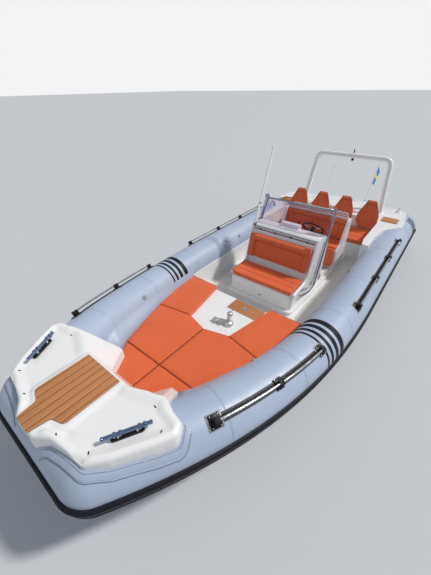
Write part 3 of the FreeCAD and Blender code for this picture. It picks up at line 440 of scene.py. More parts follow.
# Each finish: its material's name, colour, roughness and shader options; its tints, as noise
# scale and detail, noise range, colour and amount; its roughness, as noise scale and detail and
# range; its reliefs, as noise scale and detail or kind of cell, depth in metres and strength.
# A colour is three numbers, a setting with a factor, or a factor on the finish's own colour.
FINISHES = {
    "gelcoat": ("gelcoat", ("gelcoat", 1), 0.28, {"coat": 0.35},
                ((1.6, 4, 0.45, 0.8, 0.93, 0.8), (60, 2, 0.62, 0.8, 0.9, 0.25)),
                (3.5, 4, 0.2, 0.36), ((7, 2, 0.0012, 0.25),)),
    "nonskid": ("nonskid_deck", ("deck", 1), 0.62, {},
                ((2.3, 5, 0.4, 0.75, 0.86, 0.8), (34, 3, 0.55, 0.8, 1.12, 0.4))),
    "tube": ("tube_fabric", ("tube", 1), 0.42, {"sheen": 0.06},
             ((1.1, 5, 0.42, 0.72, 0.9, 0.7), (9, 4, 0.58, 0.8, 1.1, 0.35)),
             (5, 4, 0.34, 0.5), ((1.7, 2, 0.012, 0.35), (420, 2, 0.0003, 0.35))),
    "tape": ("tube_tape", ("tube", 0.93), 0.4, {"sheen": 0.05},
             ((14, 4, 0.5, 0.8, 0.88, 0.6),), (11, 3, 0.34, 0.48), ((420, 2, 0.0003, 0.35),)),
    "seam": ("dark_seam", (0.14, 0.16, 0.19), 0.6, {},
             ((30, 3, 0.4, 0.8, (0.09, 0.1, 0.12), 0.6),)),
    "rubber": ("black_rubber", ("rubber", 1), 0.6, {"specular": 0.18},
               ((26, 5, 0.55, 0.8, (0.032, 0.034, 0.042), 0.5),),
               (16, 4, 0.38, 0.62), ((260, 2, 0.0005, 0.4),)),
    "plastic": ("black_plastic", (0.01, 0.01, 0.013), 0.52, {"specular": 0.16},
                ((40, 4, 0.58, 0.8, (0.028, 0.028, 0.032), 0.5),),
                (30, 3, 0.3, 0.5), ((700, 1, 0.0003, 0.4),)),
    "grey_plastic": ("grey_plastic", (0.25, 0.26, 0.28), 0.42, {},
                     ((28, 4, 0.5, 0.8, (0.18, 0.19, 0.2), 0.6),),
                     (22, 3, 0.34, 0.52), ((600, 1, 0.0003, 0.4),)),
    "strip": ("rail_strip", (0.06, 0.062, 0.068), 0.6, {"specular": 0.2},
              ((28, 4, 0.5, 0.8, (0.036, 0.037, 0.042), 0.6),), (22, 3, 0.42, 0.6)),
    "inlay": ("inlay", (0.52, 0.54, 0.57), 0.4, {},
              ((18, 4, 0.5, 0.8, (0.3, 0.31, 0.33), 0.7),), (20, 3, 0.3, 0.5)),
    "stainless": ("stainless", (0.63, 0.64, 0.66), 0.16, {"metallic": 1.0},
                  ((12, 4, 0.5, 0.85, (0.42, 0.43, 0.45), 0.5),), (30, 4, 0.1, 0.27)),
    # Painted reflection: the cleat horns' blue colour stands for the sky and sea that polished
    # steel mirrors
    "horn_steel": ("horn_steel", (0.2, 0.27, 0.44), 0.22, {"metallic": 1.0},
                   ((20, 4, 0.45, 0.8, (0.36, 0.42, 0.56), 0.6),), (30, 4, 0.15, 0.32)),
    # Painted reflection: a dark bluish steel colour stands for the darker surroundings that the
    # screen frame mirrors
    "rail_steel": ("rail_steel", (0.26, 0.3, 0.38), 0.2, {"metallic": 1.0},
                   ((14, 4, 0.45, 0.8, (0.46, 0.49, 0.55), 0.6),), (30, 4, 0.12, 0.3)),
    "cast": ("cast_steel", (0.6, 0.61, 0.63), 0.36, {"metallic": 0.7},
             ((30, 4, 0.45, 0.8, (0.42, 0.43, 0.46), 0.6),),
             (30, 4, 0.24, 0.42), ((150, 3, 0.0006, 0.5),)),
    "caulk": ("caulk", (0.02, 0.018, 0.016), 0.7, {},
              ((40, 3, 0.5, 0.8, (0.05, 0.045, 0.04), 0.6),), None, ((300, 2, 0.0004, 0.4),)),
    "upholstery": ("upholstery", ("upholstery", 1), 0.46, {"sheen": 0.12},
                   ((2.6, 4, 0.4, 0.75, 0.84, 0.6), (18, 4, 0.55, 0.85, 1.16, 0.35)),
                   (8, 4, 0.38, 0.56),
                   ((330, "DISTANCE_TO_EDGE", 0.0008, 0.35), (24, 3, 0.0022, 0.25))),
    # Painted shade: a dark upholstery colour for the strips in the creases between cushions
    "crease": ("crease", ("upholstery", 0.3), 0.8, {},
               ((40, 3, 0.4, 0.7, ("upholstery", 0.42), 0.6),)),
    "thread": ("thread", ("upholstery", 0.62), 0.6, {"sheen": 0.2},
               ((90, 2, 0.4, 0.7, ("upholstery", 0.85), 0.6),), None,
               ((900, 1, 0.0004, 0.6),)),
    "screen": ("clear_screen", (0.74, 0.68, 0.76), 0.02, {},
               ((6, 3, 0.4, 0.9, (0.66, 0.6, 0.68), 0.6),)),
    "lens": ("lens", (0.85, 0.86, 0.88), 0.12, {"coat": 0.6},
             ((80, 2, 0.4, 0.8, (0.7, 0.71, 0.74), 0.5),)),
    "dial": ("dial_glass", (0.02, 0.025, 0.03), 0.12, {"coat": 0.8},
             ((50, 3, 0.5, 0.9, (0.06, 0.07, 0.08), 0.5),)),
    "white_paint": ("white_paint", (0.9, 0.9, 0.9), 0.3, {"coat": 0.4},
                    ((9, 4, 0.45, 0.85, (0.8, 0.8, 0.82), 0.4),),
                    (18, 3, 0.24, 0.42), ((90, 2, 0.0004, 0.3),)),
    "engine_paint": ("engine_paint", (0.13, 0.14, 0.15), 0.4, {"metallic": 0.3, "coat": 0.2},
                     ((14, 5, 0.5, 0.8, (0.07, 0.07, 0.075), 0.7),),
                     (22, 4, 0.3, 0.55), ((120, 3, 0.0006, 0.5),)),
    "drive_paint": ("drive_paint", (0.035, 0.037, 0.042), 0.33, {"coat": 0.3},
                    ((12, 5, 0.52, 0.8, (0.09, 0.1, 0.1), 0.6),),
                    (18, 4, 0.26, 0.5), ((160, 3, 0.0005, 0.4),)),
}
TEAK_GRAINS = {"teak": (1.3, 26, 26), "teak_across": (26, 1.3, 26)}
FLAG_COLOURS = {"flag_blue": (0.01, 0.22, 0.58), "flag_yellow": (0.9, 0.78, 0.05),
                "flag_white": (0.75, 0.74, 0.72), "flag_red": (0.55, 0.02, 0.03)}


def make_finish(colours, name, colour, rough, options, tints=(), spread=None, reliefs=()):
    def mixed(spec, own=None):
        if isinstance(spec, (int, float)):
            return shifted(own, spec)
        return shifted(getattr(colours, spec[0]), spec[1]) if isinstance(spec[0], str) else spec

    own = mixed(colour)
    f = Finish(name, own, rough, **options)
    for scale, detail, low, high, spec, amount in tints:
        f.tint(f.ramp(f.noise(scale, detail), low, high), mixed(spec, own), amount)
    if spread:
        f.roughened(f.noise(*spread[:2]), *spread[2:])
    for scale, detail, depth, strength in reliefs:
        f.raised(f.cells(scale, detail) if isinstance(detail, str) else f.noise(scale, detail),
                 depth, strength)
    return f


def make_finishes(colours):
    """Every finish of the boat, by its name."""
    made = {key: make_finish(colours, *row) for key, row in FINISHES.items()}
    f = made["nonskid"]
    f.raised(f.ramp(f.cells(210), 0.0, 0.6, 1.0, 0.0), 0.0009, 0.8)
    # Painted shade: the tube darkens towards its underside, which faces away from the light
    f = made["tube"]
    f.tint(f.ramp(f.height(), 0.5, 0.28), shifted(colours.tube, 0.72), 0.8)
    f = made["screen"]
    f.set(f.shader, {"Transmission Weight": 1.0, "IOR": 1.12})
    wood = tuple(colours.teak)
    for name, scale in TEAK_GRAINS.items():
        f = made[name] = Finish(name, wood, 0.55)
        grain = f.noise(3.4, 6, f.stretched(scale), 0.62, 0.35)
        fine = f.noise(11, 4, f.stretched(scale), 0.7)
        f.tint(f.ramp(grain, 0.38, 0.72), shifted(wood, 0.66), 0.85)
        f.tint(f.ramp(fine, 0.52, 0.8), shifted(wood, 1.25), 0.55)
        f.tint(f.ramp(f.noise(2.2, 2), 0.4, 0.7), shifted(wood, 0.84), 0.6)
        f.roughened(fine, 0.46, 0.66)
        f.raised(fine, 0.0006, 0.5)
    for name, colour in FLAG_COLOURS.items():
        made[name] = make_finish(colours, name, colour, 0.75, {"sheen": 0.25},
                                 ((14, 4, 0.45, 0.8, 0.8, 0.6),), None,
                                 ((1500, 1, 0.0003, 0.5),))
    return {key: finish.material for key, finish in made.items()}


class Store:
    """The finishes made by the first operator, for the others to use."""
    finishes = {}


def use(finish):
    """A finish by its name; a material stays as it is."""
    return Store.finishes[finish] if isinstance(finish, str) else finish


# Flat outlines and the triangles inside them

def flat(points, z=0.0):
    return [Vector((p[0], p[1], z)) for p in points]


def ring_of(points, radii, step):
    """Closed flat outline with rounded corners, with points about a step apart."""
    line = rounded(flat(points), radii)
    ring = []
    for i, here in enumerate(line):
        ahead = line[(i + 1) % len(line)]
        count = max(1, round((ahead - here).length / step))
        ring += [here.lerp(ahead, k / count) for k in range(count)]
    return ring


def spaced(line, step):
    points = [line[0]]
    for here, ahead in zip(line, line[1:]):
        count = max(1, round((ahead - here).length / step))
        points += [here.lerp(ahead, (k + 1) / count) for k in range(count)]
    return points


def mirror_outline(half):
    """Half outline on the port side, completed to starboard."""
    return list(half) + [(x, -y) for x, y in reversed(half)]


def to_lines(points, lines):
    """Distance of each point to the nearest of the lines, which are lists of points."""
    points = np.asarray(points, float)[:, :2]
    best = np.full(len(points), 1e9)
    for line in lines:
        line = np.asarray([tuple(p)[:2] for p in line], float)
        for a, b in zip(line, line[1:]):
            run = b - a
            share = np.clip(((points - a) @ run) / max(run @ run, 1e-12), 0, 1)
            away = points - (a + share[:, None] * run)
            best = np.minimum(best, np.hypot(away[:, 0], away[:, 1]))
    return best


def inside(points, ring):
    points = np.asarray(points, float)
    ring = np.asarray([tuple(p)[:2] for p in ring], float)
    found = np.zeros(len(points), bool)
    for a, b in zip(ring, np.roll(ring, -1, axis=0)):
        if a[1] == b[1]:
            continue
        crosses = (a[1] > points[:, 1]) != (b[1] > points[:, 1])
        at = a[0] + (points[:, 1] - a[1]) * (b[0] - a[0]) / (b[1] - a[1])
        found ^= crosses & (points[:, 0] < at)
    return found


def meshed(ring, step, lines):
    """Triangles over a flat outline, with a grid inside and edges along the lines."""
    corners = np.array([tuple(p)[:2] for p in ring])
    low, high = corners.min(axis=0), corners.max(axis=0)
    xs = np.arange(low[0] + step / 2, high[0], step)
    ys = np.arange(low[1] + step / 2, high[1], step)
    grid = np.array([(x, y) for x in xs for y in ys]).reshape(-1, 2)
    keep = inside(grid, ring) & (to_lines(grid, [ring + ring[:1]] + lines) > step * 0.6)
    points = [p.to_2d() for p in ring]
    edges = [(i, (i + 1) % len(ring)) for i in range(len(ring))]
    fixed = range(len(ring), len(ring) + sum(map(len, lines)))
    for line in lines:
        start = len(points)
        points += [p.to_2d() for p in line]
        edges += [(start + i, start + i + 1) for i in range(len(line) - 1)]
    points += [Vector(p) for p in grid[keep]]
    verts, _, faces, origins, _, _ = geometry.delaunay_2d_cdt(points, edges, [], 1, 1e-6, True)
    found = {source: i for i, sources in enumerate(origins) for source in sources}
    return (verts, [tuple(f) for f in faces], [found[i] for i in range(len(ring))],
            {found[i] for i in fixed if i in found})


def rim_normals(ring):
    """Outward directions of a closed flat outline."""
    area = sum(a.x * b.y - b.x * a.y for a, b in zip(ring, ring[1:] + ring[:1]))
    sign = 1.0 if area > 0 else -1.0
    normals = []
    for i in range(len(ring)):
        run = (ring[(i + 1) % len(ring)] - ring[i - 1]).normalized()
        normals.append(Vector((run.y, -run.x, 0)) * sign)
    return normals


# Cushions, sewn as drawn and then filled with air

class Pad:
    """A cushion as drawn: an outline in its own plane, a thickness, seams and a raised form."""

    def __init__(self, name, origin, across, along, outline, radii, thick, node, seams=(),
                 form=None, step=0.02, crown=0.012, bulge=0.006):
        self.name, self.node, self.crown = name, node, crown
        self.origin = Vector(origin)
        self.u, self.v = Vector(across).normalized(), Vector(along).normalized()
        self.n = self.u.cross(self.v).normalized()
        self.form = form or (lambda a, b: 0.0)
        self.ring = ring = ring_of(outline, radii, step)
        self.seams = [spaced(flat(seam), step) for seam in seams]
        verts, tops, rim, pinned = meshed(ring, step, self.seams)
        away = to_lines([tuple(p) for p in verts], [ring + ring[:1]] + self.seams)
        self.puff = crown * (1.0 - np.exp(-away / 0.03))
        points = [self.at(p.x, p.y, self.form(p.x, p.y)) for p in verts]
        rows, size, sides = [rim], len(ring), 4
        for k in range(1, sides + 1):
            share = k / sides
            swell = bulge * math.sin(math.pi * share) - 0.002
            rows.append(list(range(len(points), len(points) + size)))
            for p, out in zip(ring, rim_normals(ring)):
                shift = p + out * swell
                top = self.form(p.x, p.y)
                points.append(self.at(shift.x, shift.y, top - (thick + top) * share))
        walls = [(low[i], low[(i + 1) % size], high[(i + 1) % size], high[i])
                 for low, high in zip(rows, rows[1:]) for i in range(size)]
        under = dict(zip(rim, rows[-1]))
        for i, p in enumerate(verts):
            if i not in under:
                under[i] = len(points)
                points.append(self.at(p.x, p.y, -thick))
        bottoms = [tuple(under[i] for i in reversed(face)) for face in tops]
        self.piece = new_mesh(name, points, tops + walls + bottoms, "upholstery", None)
        self.rest = np.array([tuple(p) for p in points])
        group = self.piece.vertex_groups.new(name="seam")
        fixed = set(rim) | pinned | set(under.values()) | set(rows[-1])
        group.add(sorted(fixed), 1.0, "REPLACE")

    def at(self, a, b, h):
        return self.origin + self.u * a + self.v * b + self.n * h

    def piping(self):
        line = [self.at(p.x, p.y, self.form(p.x, p.y) + 0.0005) for p in self.ring]
        return sweep("welt", line, circle(0.0042, 8), "upholstery", [self.n] * len(line), True,
                     60.0)

    def stitches(self):
        made = []
        for seam in self.seams:
            for side in SIDES:
                run = (seam[-1] - seam[0]).normalized()
                shift = Vector((-run.y, run.x, 0)) * 0.006 * side
                line = [self.at(p.x + shift.x, p.y + shift.y, self.form(p.x, p.y) + 0.0018)
                        for p in seam]
                made.append(sweep("stitch", line, circle(0.0011, 6), "thread",
                                  [self.n] * len(line), smooth=60.0))
        return made


CLOTH = {"quality": 5, "mass": 0.3, "tension_stiffness": 18.0, "compression_stiffness": 18.0,
         "shear_stiffness": 6.0, "bending_stiffness": 0.6, "use_pressure": True,
         "uniform_pressure_force": 4.0, "vertex_group_mass": "seam"}
CLOTH_FRAMES = 20
CROWN_MARGIN = 1.25


def inflate(pads):
    """Cloth simulation: air pressure swells each cushion between its seams."""
    scene = bpy.context.scene
    scene.frame_set(1)
    for pad in pads:
        cloth = pad.piece.modifiers.new("air", "CLOTH")
        for key, value in CLOTH.items():
            setattr(cloth.settings, key, value)
        cloth.settings.effector_weights.gravity = 0.0
        cloth.point_cache.frame_start = 1
        cloth.point_cache.frame_end = CLOTH_FRAMES
    for frame_number in range(1, CLOTH_FRAMES + 1):
        scene.frame_set(frame_number)
    for pad in pads:
        applied(pad.piece)
        data = pad.piece.data
        shift = np.array([tuple(v.co) for v in data.vertices]) - pad.rest
        reach = np.linalg.norm(shift, axis=1, keepdims=True)
        # No point moves further than a little past the crown
        cap = pad.crown * CROWN_MARGIN
        shift *= np.tanh(reach / cap) * cap / np.maximum(reach, 1e-9)
        data.vertices.foreach_set("co", (pad.rest + shift).ravel())
    scene.frame_set(1)
    for pad in pads:
        smooth = pad.piece.modifiers.new("smooth", "SUBSURF")
        smooth.levels = smooth.render_levels = 1
        smooth.subdivision_type = "CATMULL_CLARK"
        applied(pad.piece)
        pad.piece.data.shade_smooth()


def finish_pads(pads, trim_name):
    inflate(pads)
    trims = []
    for pad in pads:
        fitted(pad.piece, ROOT, [pad.node])
        trims += [pad.piping()] + pad.stitches()
    fitted(joined(trim_name, trims))


def rectangle(x0, x1, y0, y1):
    return [(x0, y0), (x1, y0), (x1, y1), (x0, y1)]


def bench_pad(name, node, start, end, half, radius, thick, seams, step, crown, middle=False):
    """A seat cushion from its aft to its fore edge, with seams at shares of its depth."""
    across = Vector(end) - Vector(start)
    width = across.length
    lines = [[(width * share, 0.005 - half), (width * share, half - 0.005)] for share in seams]
    if middle:
        lines.insert(0, [(0.012, 0.0), (width - 0.01, 0.0)])
    return Pad(name, start, across, Y, rectangle(0.0, width, -half, half), radius, thick, node,
               lines, step=step, crown=crown)


def smooth_step(value, low, high):
    share = max(0.0, min(1.0, (value - low) / (high - low)))
    return share * share * (3 - 2 * share)


def rolled(b, low, high, rise):
    """Height of a bolster with a half-round section between two places."""
    t = (2 * b - low - high) / (high - low)
    return rise * math.sqrt(max(0.0, 1 - t * t)) if abs(t) <= 1 else -1.0


BOW_PADS = {
    "aft": mm(1140, 490, 1140, 978, 1600, 935, 2025, 852, 1924, 343),
    "mid": mm(1932, 340, 2034, 852, 2400, 756, 2784, 600, 2784, 1.5, 2030, 1.5),
    "fore": mm(2790, 1.5, 2790, 582, 2955, 498, 2955, 402, 3190, 250, 3190, 1.5),
}
BOW_PAD_THICK = 0.0717


def make_bow_cushions():
    pads = []
    turn = Matrix.Rotation(-BOW_PITCH, 3, "Y")
    across = turn @ X_DIR
    for place, outline in BOW_PADS.items():
        for side, word in ((1, "port"), (-1, "starboard")):
            ring = [(x - BOW_PIVOT.x, y * side) for x, y in outline]
            if side < 0:
                ring.reverse()
            name = "bow_pad_%s_%s" % (place, word)
            origin = BOW_PIVOT + BOW_UP * (PAD_TOP - BOW_PIVOT.z - 0.004)
            pads.append(Pad("cushion_" + name, origin, across, Y, ring, 0.012,
                            BOW_PAD_THICK - 0.004, name, step=0.026, crown=0.007, bulge=0.003))
    finish_pads(pads, "bow_cushion_welts")
    # Painted shade: dark strips laid in the creases between neighbouring cushions
    made = []
    for line in (mm(2036, 0, 3185, 0), mm(1930, 344, 2030, 848), mm(2787, 0, 2787, 588)):
        for side in SIDES:
            ends = [bow_pitched((x, y * side, PAD_TOP - 0.0005)) for x, y in line]
            made.append(bar("crease", ends, 0.0056, "crease", count=8))
    fitted(joined("bow_creases", made))


def make_console_cushions():
    bench = bench_pad("cushion_console_seat", "console_seat_pad", (0.262, 0, 0.608),
                      (0.655, 0, 0.588), 0.54, 0.03, 0.07, (0.36, 0.66), 0.02, 0.013)
    low = Vector((0.206, 0, 0.705))
    along = Vector((0.104, 0, 1.085)) - low
    tall = along.length
    neck = tall - 0.13

    def form(a, b):
        sides = smooth_step(abs(a), 0.436, 0.452)
        return max(-0.04 * (1 - sides) - 0.006, rolled(b, neck, tall, 0.052) - 0.04)

    seams = [[(a, 0.01), (a, neck)] for a in (-0.444, 0.444)]
    seams.append([(-0.535, neck), (0.535, neck)])
    back = Pad("cushion_console_back", low, Y, along, rectangle(-0.54, 0.54, 0.0, tall), 0.03,
               0.078, "console_back_pad", seams, form, step=0.02, crown=0.014)
    finish_pads([bench, back], "console_cushion_welts")


def make_helm_cushions():
    seat = bench_pad("cushion_helm_seat", "helm_seat_pad", (-1.395, 0, 0.69),
                     (-1.002, 0, 0.676), 0.6, 0.035, 0.078, (0.45,), 0.022, 0.016, True)
    low = Vector((-1.352, 0, 0.712))
    along = Vector((-1.384, 0, 1.082)) - low
    tall = along.length
    neck = tall - 0.1

    def form(a, b):
        sides = smooth_step(abs(a), 0.472, 0.488)
        middle = 1 - smooth_step(abs(a), 0.035, 0.055)
        panel = -0.024 * (1 - max(sides, middle)) - 0.004
        return max(panel, rolled(b, neck, tall, 0.036) - 0.028)

    seams = [[(-0.48, 0.01), (-0.48, neck)], [(0.48, 0.01), (0.48, neck)],
             [(-0.595, neck), (0.595, neck)]]
    seams += [[(a, 0.01), (a, neck - 0.005)] for a in (-0.045, 0.045)]
    back = Pad("cushion_helm_back", low, Y, along, rectangle(-0.6, 0.6, 0.0, tall), 0.03, 0.052,
               "helm_back_pad", seams, form, step=0.022, crown=0.014)
    front = Pad("cushion_helm_apron", (-0.952, 0, 0.305), Y, UP, rectangle(-0.6, 0.6, 0.0, 0.35),
                0.03, 0.05, "helm_apron_pad", [mm(0, 10, 0, 340)], step=0.022, crown=0.012)
    finish_pads([seat, back, front], "helm_cushion_welts")


SEAT_BACKS_Y = (-0.75, -0.25, 0.25, 0.75)


def make_aft_cushions():
    pads = [bench_pad("cushion_aft_bench", "aft_bench_pad", (-2.185, 0, 0.688),
                      (-1.752, 0, 0.59), 0.93, 0.03, 0.085, (0.42, 0.72), 0.024, 0.016)]
    lean = math.radians(14)
    outline = mm(130, 0, 200, 120, 195, 270, 90, 420, 85, 530)
    outline += [(-a, b) for a, b in reversed(outline)]
    radii = [0.02, 0.03, 0.04, 0.02, 0.02]
    seams = [[(side * a, b) for a, b in ((0.09, 0.008), (0.128, 0.13), (0.122, 0.26),
                                         (0.062, 0.4), (0.055, 0.465))] for side in SIDES]
    seams.append(mm(-84, 468, 84, 468))

    def form(a, b):
        half = np.interp(b, (0.0, 0.13, 0.26, 0.4, 0.47), (0.09, 0.128, 0.122, 0.062, 0.055))
        panel = 1 - smooth_step(abs(a), half - 0.007, half + 0.007)
        return max(-0.018 * panel - 0.003, rolled(b, 0.458, 0.53, 0.026) - 0.018)

    for i, y in enumerate(SEAT_BACKS_Y, 1):
        pads.append(Pad("cushion_aft_back_%d" % i, (-2.172, y, 0.722), Y,
                        (-math.sin(lean), 0, math.cos(lean)), outline, radii + radii[::-1],
                        0.055, "aft_back_%d" % i, seams, form, step=0.014, crown=0.01))
    finish_pads(pads, "aft_cushion_welts")


# Teak, laid as planks on a bed of caulk

CAULK, CAULK_DEPTH, LEAST_BOARD = 0.006, 0.72, 0.004


def clipped(polygon, low, high):
    """The part of a flat outline between two values of y."""
    for limit, keep in ((low, 1), (high, -1)):
        result = []
        for i, here in enumerate(polygon):
            ahead = polygon[(i + 1) % len(polygon)]
            a = (here.y - limit) * keep
            b = (ahead.y - limit) * keep
            if a >= 0:
                result.append(here)
            if (a > 0) != (b > 0) and abs(a - b) > 1e-12:
                result.append(here.lerp(ahead, a / (a - b)))
        polygon = result
    return polygon


def cleaned(line, least=0.0008):
    kept = []
    for p in line:
        if not kept or (p - kept[-1]).length > least:
            kept.append(p)
    if len(kept) > 2 and (kept[0] - kept[-1]).length < least:
        kept.pop()
    return kept


def planked(outline, z, thick, place, pitch, finish="teak", offset=0.0):
    """Planks along x inside an outline, on a dark bed that shows as caulk between them."""
    up = place(UP) - place(Vector())

    def laid(ring, depth, used, bevel):
        return slab("plank", [place(Vector((p.x, p.y, z))) for p in ring], up, depth, used, bevel)

    made = [laid(outline, thick * CAULK_DEPTH, "caulk", 0.001)]
    low, high = min(p.y for p in outline), max(p.y for p in outline)
    for k in range(math.floor((low - offset) / pitch), math.ceil((high - offset) / pitch)):
        start = offset + k * pitch + CAULK / 2
        board = cleaned(clipped(outline, start, start + pitch - CAULK))
        if len(board) > 2 and max(p.y for p in board) - min(p.y for p in board) >= LEAST_BOARD:
            made.append(laid(board, thick, finish, 0.0012))
    return made


TEAK_HALF = mm(3376, 240, 3868, 240, 3905, 120, 4066, 95)
TEAK_RADII = [0.008, 0.04, 0.045, 0.025]


def make_teak(sizes):
    outline = rounded(flat(mirror_outline(TEAK_HALF)), TEAK_RADII + TEAK_RADII[::-1], 6)
    made = planked(outline, DECK_TOP + 0.0004, 0.0082, bow_pitched, sizes.plank)
    fitted(joined("bow_teak_planks", made), ROOT, ["bow_teak"])
    steps = []
    for side in SIDES:
        ring = rectangle(-2.617, -2.35, 0.985 * side, 1.285 * side)
        steps += planked(rounded(flat(ring), 0.015, 5), 0.8604, 0.0098, Vector, 0.06,
                         offset=0.985 * side)
    fitted(joined("aft_step_planks", steps), ROOT, ["aft_teak"])


# The bow moulding and what lies round it on the tube

# The moulding's edge where it lies on the tube, from the nose aft, in the level drawing
EDGE_HALF = mm(4074, 128, 3998, 262, 3965, 420, 3940, 602, 3812, 712, 3555, 872, 3395, 955,
               3292, 905, 3258, 740)
EDGE_RADII = [0.06, 0.11, 0.2, 0.06, 0.15, 0.3, 0.07, 0.06, 0.08]
SLAB_HALF = EDGE_HALF + mm(3238, 630, 3362, 345)
SLAB_RADII = EDGE_RADII + [0.02, 0.02]
SLAB_LEVELS = (
    # level z, how far the ring lies inside the edge
    (0.8, -0.004),
    (0.955, 0.0),
    (1.02, 0.008),
    (1.036, 0.016),
    (DECK_TOP, 0.032),
)
CORE_LOW_Z = 0.5
LEDGE_Z = 0.672
CORE_LOW = mm(3202, 250, 2964, 400, 2964, 488, 3140, 600, 3245, 720, 3330, 800, 3550, 760,
              3850, 420)
CORE_HIGH = mm(3360, 350, 3238, 620, 3240, 655, 3248, 700, 3270, 760, 3350, 840, 3550, 790,
               3850, 450)
SCOOP = ((3.893, 0.165), (3.918, 0.56))
HUMP = ((3.985, 0.19), (3.955, 0.44))


def softened(piece, cell, passes, finish):
    """Rounds every edge of closed meshes as one piece, as a moulding comes out of its mould."""
    remesh = piece.modifiers.new("cells", "REMESH")
    remesh.mode = "VOXEL"
    remesh.voxel_size = cell
    smooth = piece.modifiers.new("soft", "SMOOTH")
    smooth.factor = 0.5
    smooth.iterations = passes
    applied(piece)
    piece.data.materials.clear()
    piece.data.materials.append(use(finish))
    piece.data.shade_smooth()
    return piece


def stacked(name, rings):
    """A closed mesh through rings of points, one above the other."""
    verts = [p for ring in rings for p in ring]
    size = len(rings[0])
    faces = grid_faces(len(rings), size)
    faces += [tuple(range(size))[::-1], tuple(range(len(verts) - size, len(verts)))]
    return new_mesh(name, verts, faces, None, None)


def smoother(values, low, high):
    share = np.clip((values - low) / (high - low), 0, 1)
    return share * share * (3 - 2 * share)


def make_moulding():
    outline = rounded(flat(mirror_outline(SLAB_HALF)), SLAB_RADII + SLAB_RADII[::-1], 6)
    ways = rim_normals(outline)
    rings = [[bow_pitched((p.x - n.x * inset, p.y - n.y * inset, z))
              for p, n in zip(outline, ways)] for z, inset in SLAB_LEVELS]
    slab_piece = stacked("moulding_slab", rings)
    core = stacked("moulding_core", [[bow_pitched((x, y, z)) for x, y in mirror_outline(half)]
                                     for half, z in ((CORE_LOW, CORE_LOW_Z), (CORE_LOW, LEDGE_Z),
                                                     (CORE_HIGH, DECK_TOP - 0.003))])
    piece = softened(joined("bow_moulding", [slab_piece, core], "gelcoat"), 0.0085, 6, "gelcoat")
    turn = Matrix.Rotation(BOW_PITCH, 3, "Y")
    data = piece.data
    level = np.array([tuple(BOW_PIVOT + turn @ (v.co - BOW_PIVOT)) for v in data.vertices])
    ups = np.array([v.normal.z for v in data.vertices])
    edge = rounded(flat(EDGE_HALF), EDGE_RADII, 6, False)
    edge = [edge, [Vector((p.x, -p.y, 0)) for p in edge]]
    teak = rounded(flat(mirror_outline(TEAK_HALF)), TEAK_RADII + TEAK_RADII[::-1], 4)
    depth = to_lines(level, edge)
    beside = to_lines(level, [teak + teak[:1]])
    beside[inside(level[:, :2], teak)] = 0.0
    relief = 0.007 * np.exp(-((depth - 0.046) / 0.018) ** 2)
    relief -= 0.017 * smoother(depth, 0.055, 0.125)
    mirrored_level = level * np.array((1, -1, 1))
    for line, rise, wide in ((SCOOP, -0.016, 0.042), (HUMP, 0.01, 0.04)):
        near = np.minimum(to_lines(level, [line]), to_lines(mirrored_level, [line]))
        relief += rise * np.exp(-(near / wide) ** 2)
    amount = smoother(level[:, 2], DECK_TOP - 0.05, DECK_TOP - 0.02) * smoother(ups, 0.2, 0.6)
    amount *= smoother(beside, 0.014, 0.075)
    back = EDGE_HALF[-2:] + SLAB_HALF[-2:]
    amount *= smoother(np.minimum(to_lines(level, [back]), to_lines(mirrored_level, [back])),
                       0.01, 0.11)
    for vertex, shift in zip(data.vertices, relief * amount):
        vertex.co += BOW_UP * float(shift)
    fitted(piece, ROOT, ["bow_deck"])

    # Small dark drains near the moulding's edge
    tree = BVHTree.FromPolygons([v.co for v in data.vertices],
                                [tuple(face.vertices) for face in data.polygons])
    made = []
    for side in SIDES:
        for x, y, angle in ((3.868, 0.56, 50), (3.945, 0.27, 60), (3.455, 0.835, 20),
                            (3.345, 0.64, 80)):
            start = bow_pitched((x, y * side, DECK_TOP + 0.2))
            place = tree.ray_cast(start, -UP)[0]
            turn = Matrix.Rotation(math.radians(angle * side), 3, "Z")
            half = Vector((0.014, 0.0045, 0.0035))
            made.append(block("drain", place - half, place + half, "plastic", 0.002, turn))
    fitted(joined("bow_drains", made))


def flange_line(offset):
    """The moulding's edge on the tube, moved outwards, with the tube's normals."""
    trees = []
    for node in ("tube_port", "tube_starboard", "tube_bow"):
        data = NODES[node].data
        trees.append(BVHTree.FromPolygons([NODES[node].matrix_world @ v.co for v in data.vertices],
                                          [tuple(p.vertices) for p in data.polygons]))
    ring = rounded(flat(mirror_outline(EDGE_HALF)), EDGE_RADII + EDGE_RADII[::-1], 8)
    ring = spaced(ring, 0.012)
    normals = rim_normals(ring)
    sides = {1: [], -1: []}
    for point, out in zip(ring, normals):
        p = bow_pitched((point.x + out.x * offset, point.y + out.y * offset, DECK_TOP - 0.05))
        if abs(p.y) < 0.2 or p.x < 3.262:
            continue
        best = None
        for tree in trees:
            hit, normal = tree.ray_cast(Vector((p.x, p.y, 1.6)), -UP)[:2]
            if hit is not None and (best is None or hit.z > best[0].z):
                best = (hit, normal)
        if best is not None and best[0].z > 0.86:
            sides[1 if p.y > 0 else -1].append((best[0] + best[1] * 0.0012, best[1]))
    return sides


def strap(name, line, width, thick, finish):
    """A flat tape on a surface; the line is (point, normal) pairs."""
    half = width / 2
    section = [(-half, -0.002), (half, -0.002), (half, thick * 0.4), (half - thick * 1.5, thick),
               (-half + thick * 1.5, thick), (-half, thick * 0.4)]
    return sweep(name, [p for p, _ in line], section, finish, [n for _, n in line])


def run_line(x0, x1, degrees, side, lift):
    """A line along the tube as (point, normal) pairs."""
    count = max(2, round(abs(x1 - x0) / 0.04))
    return [on_tube(x0 + (x1 - x0) * k / count, degrees, lift, side) for k in range(count + 1)]


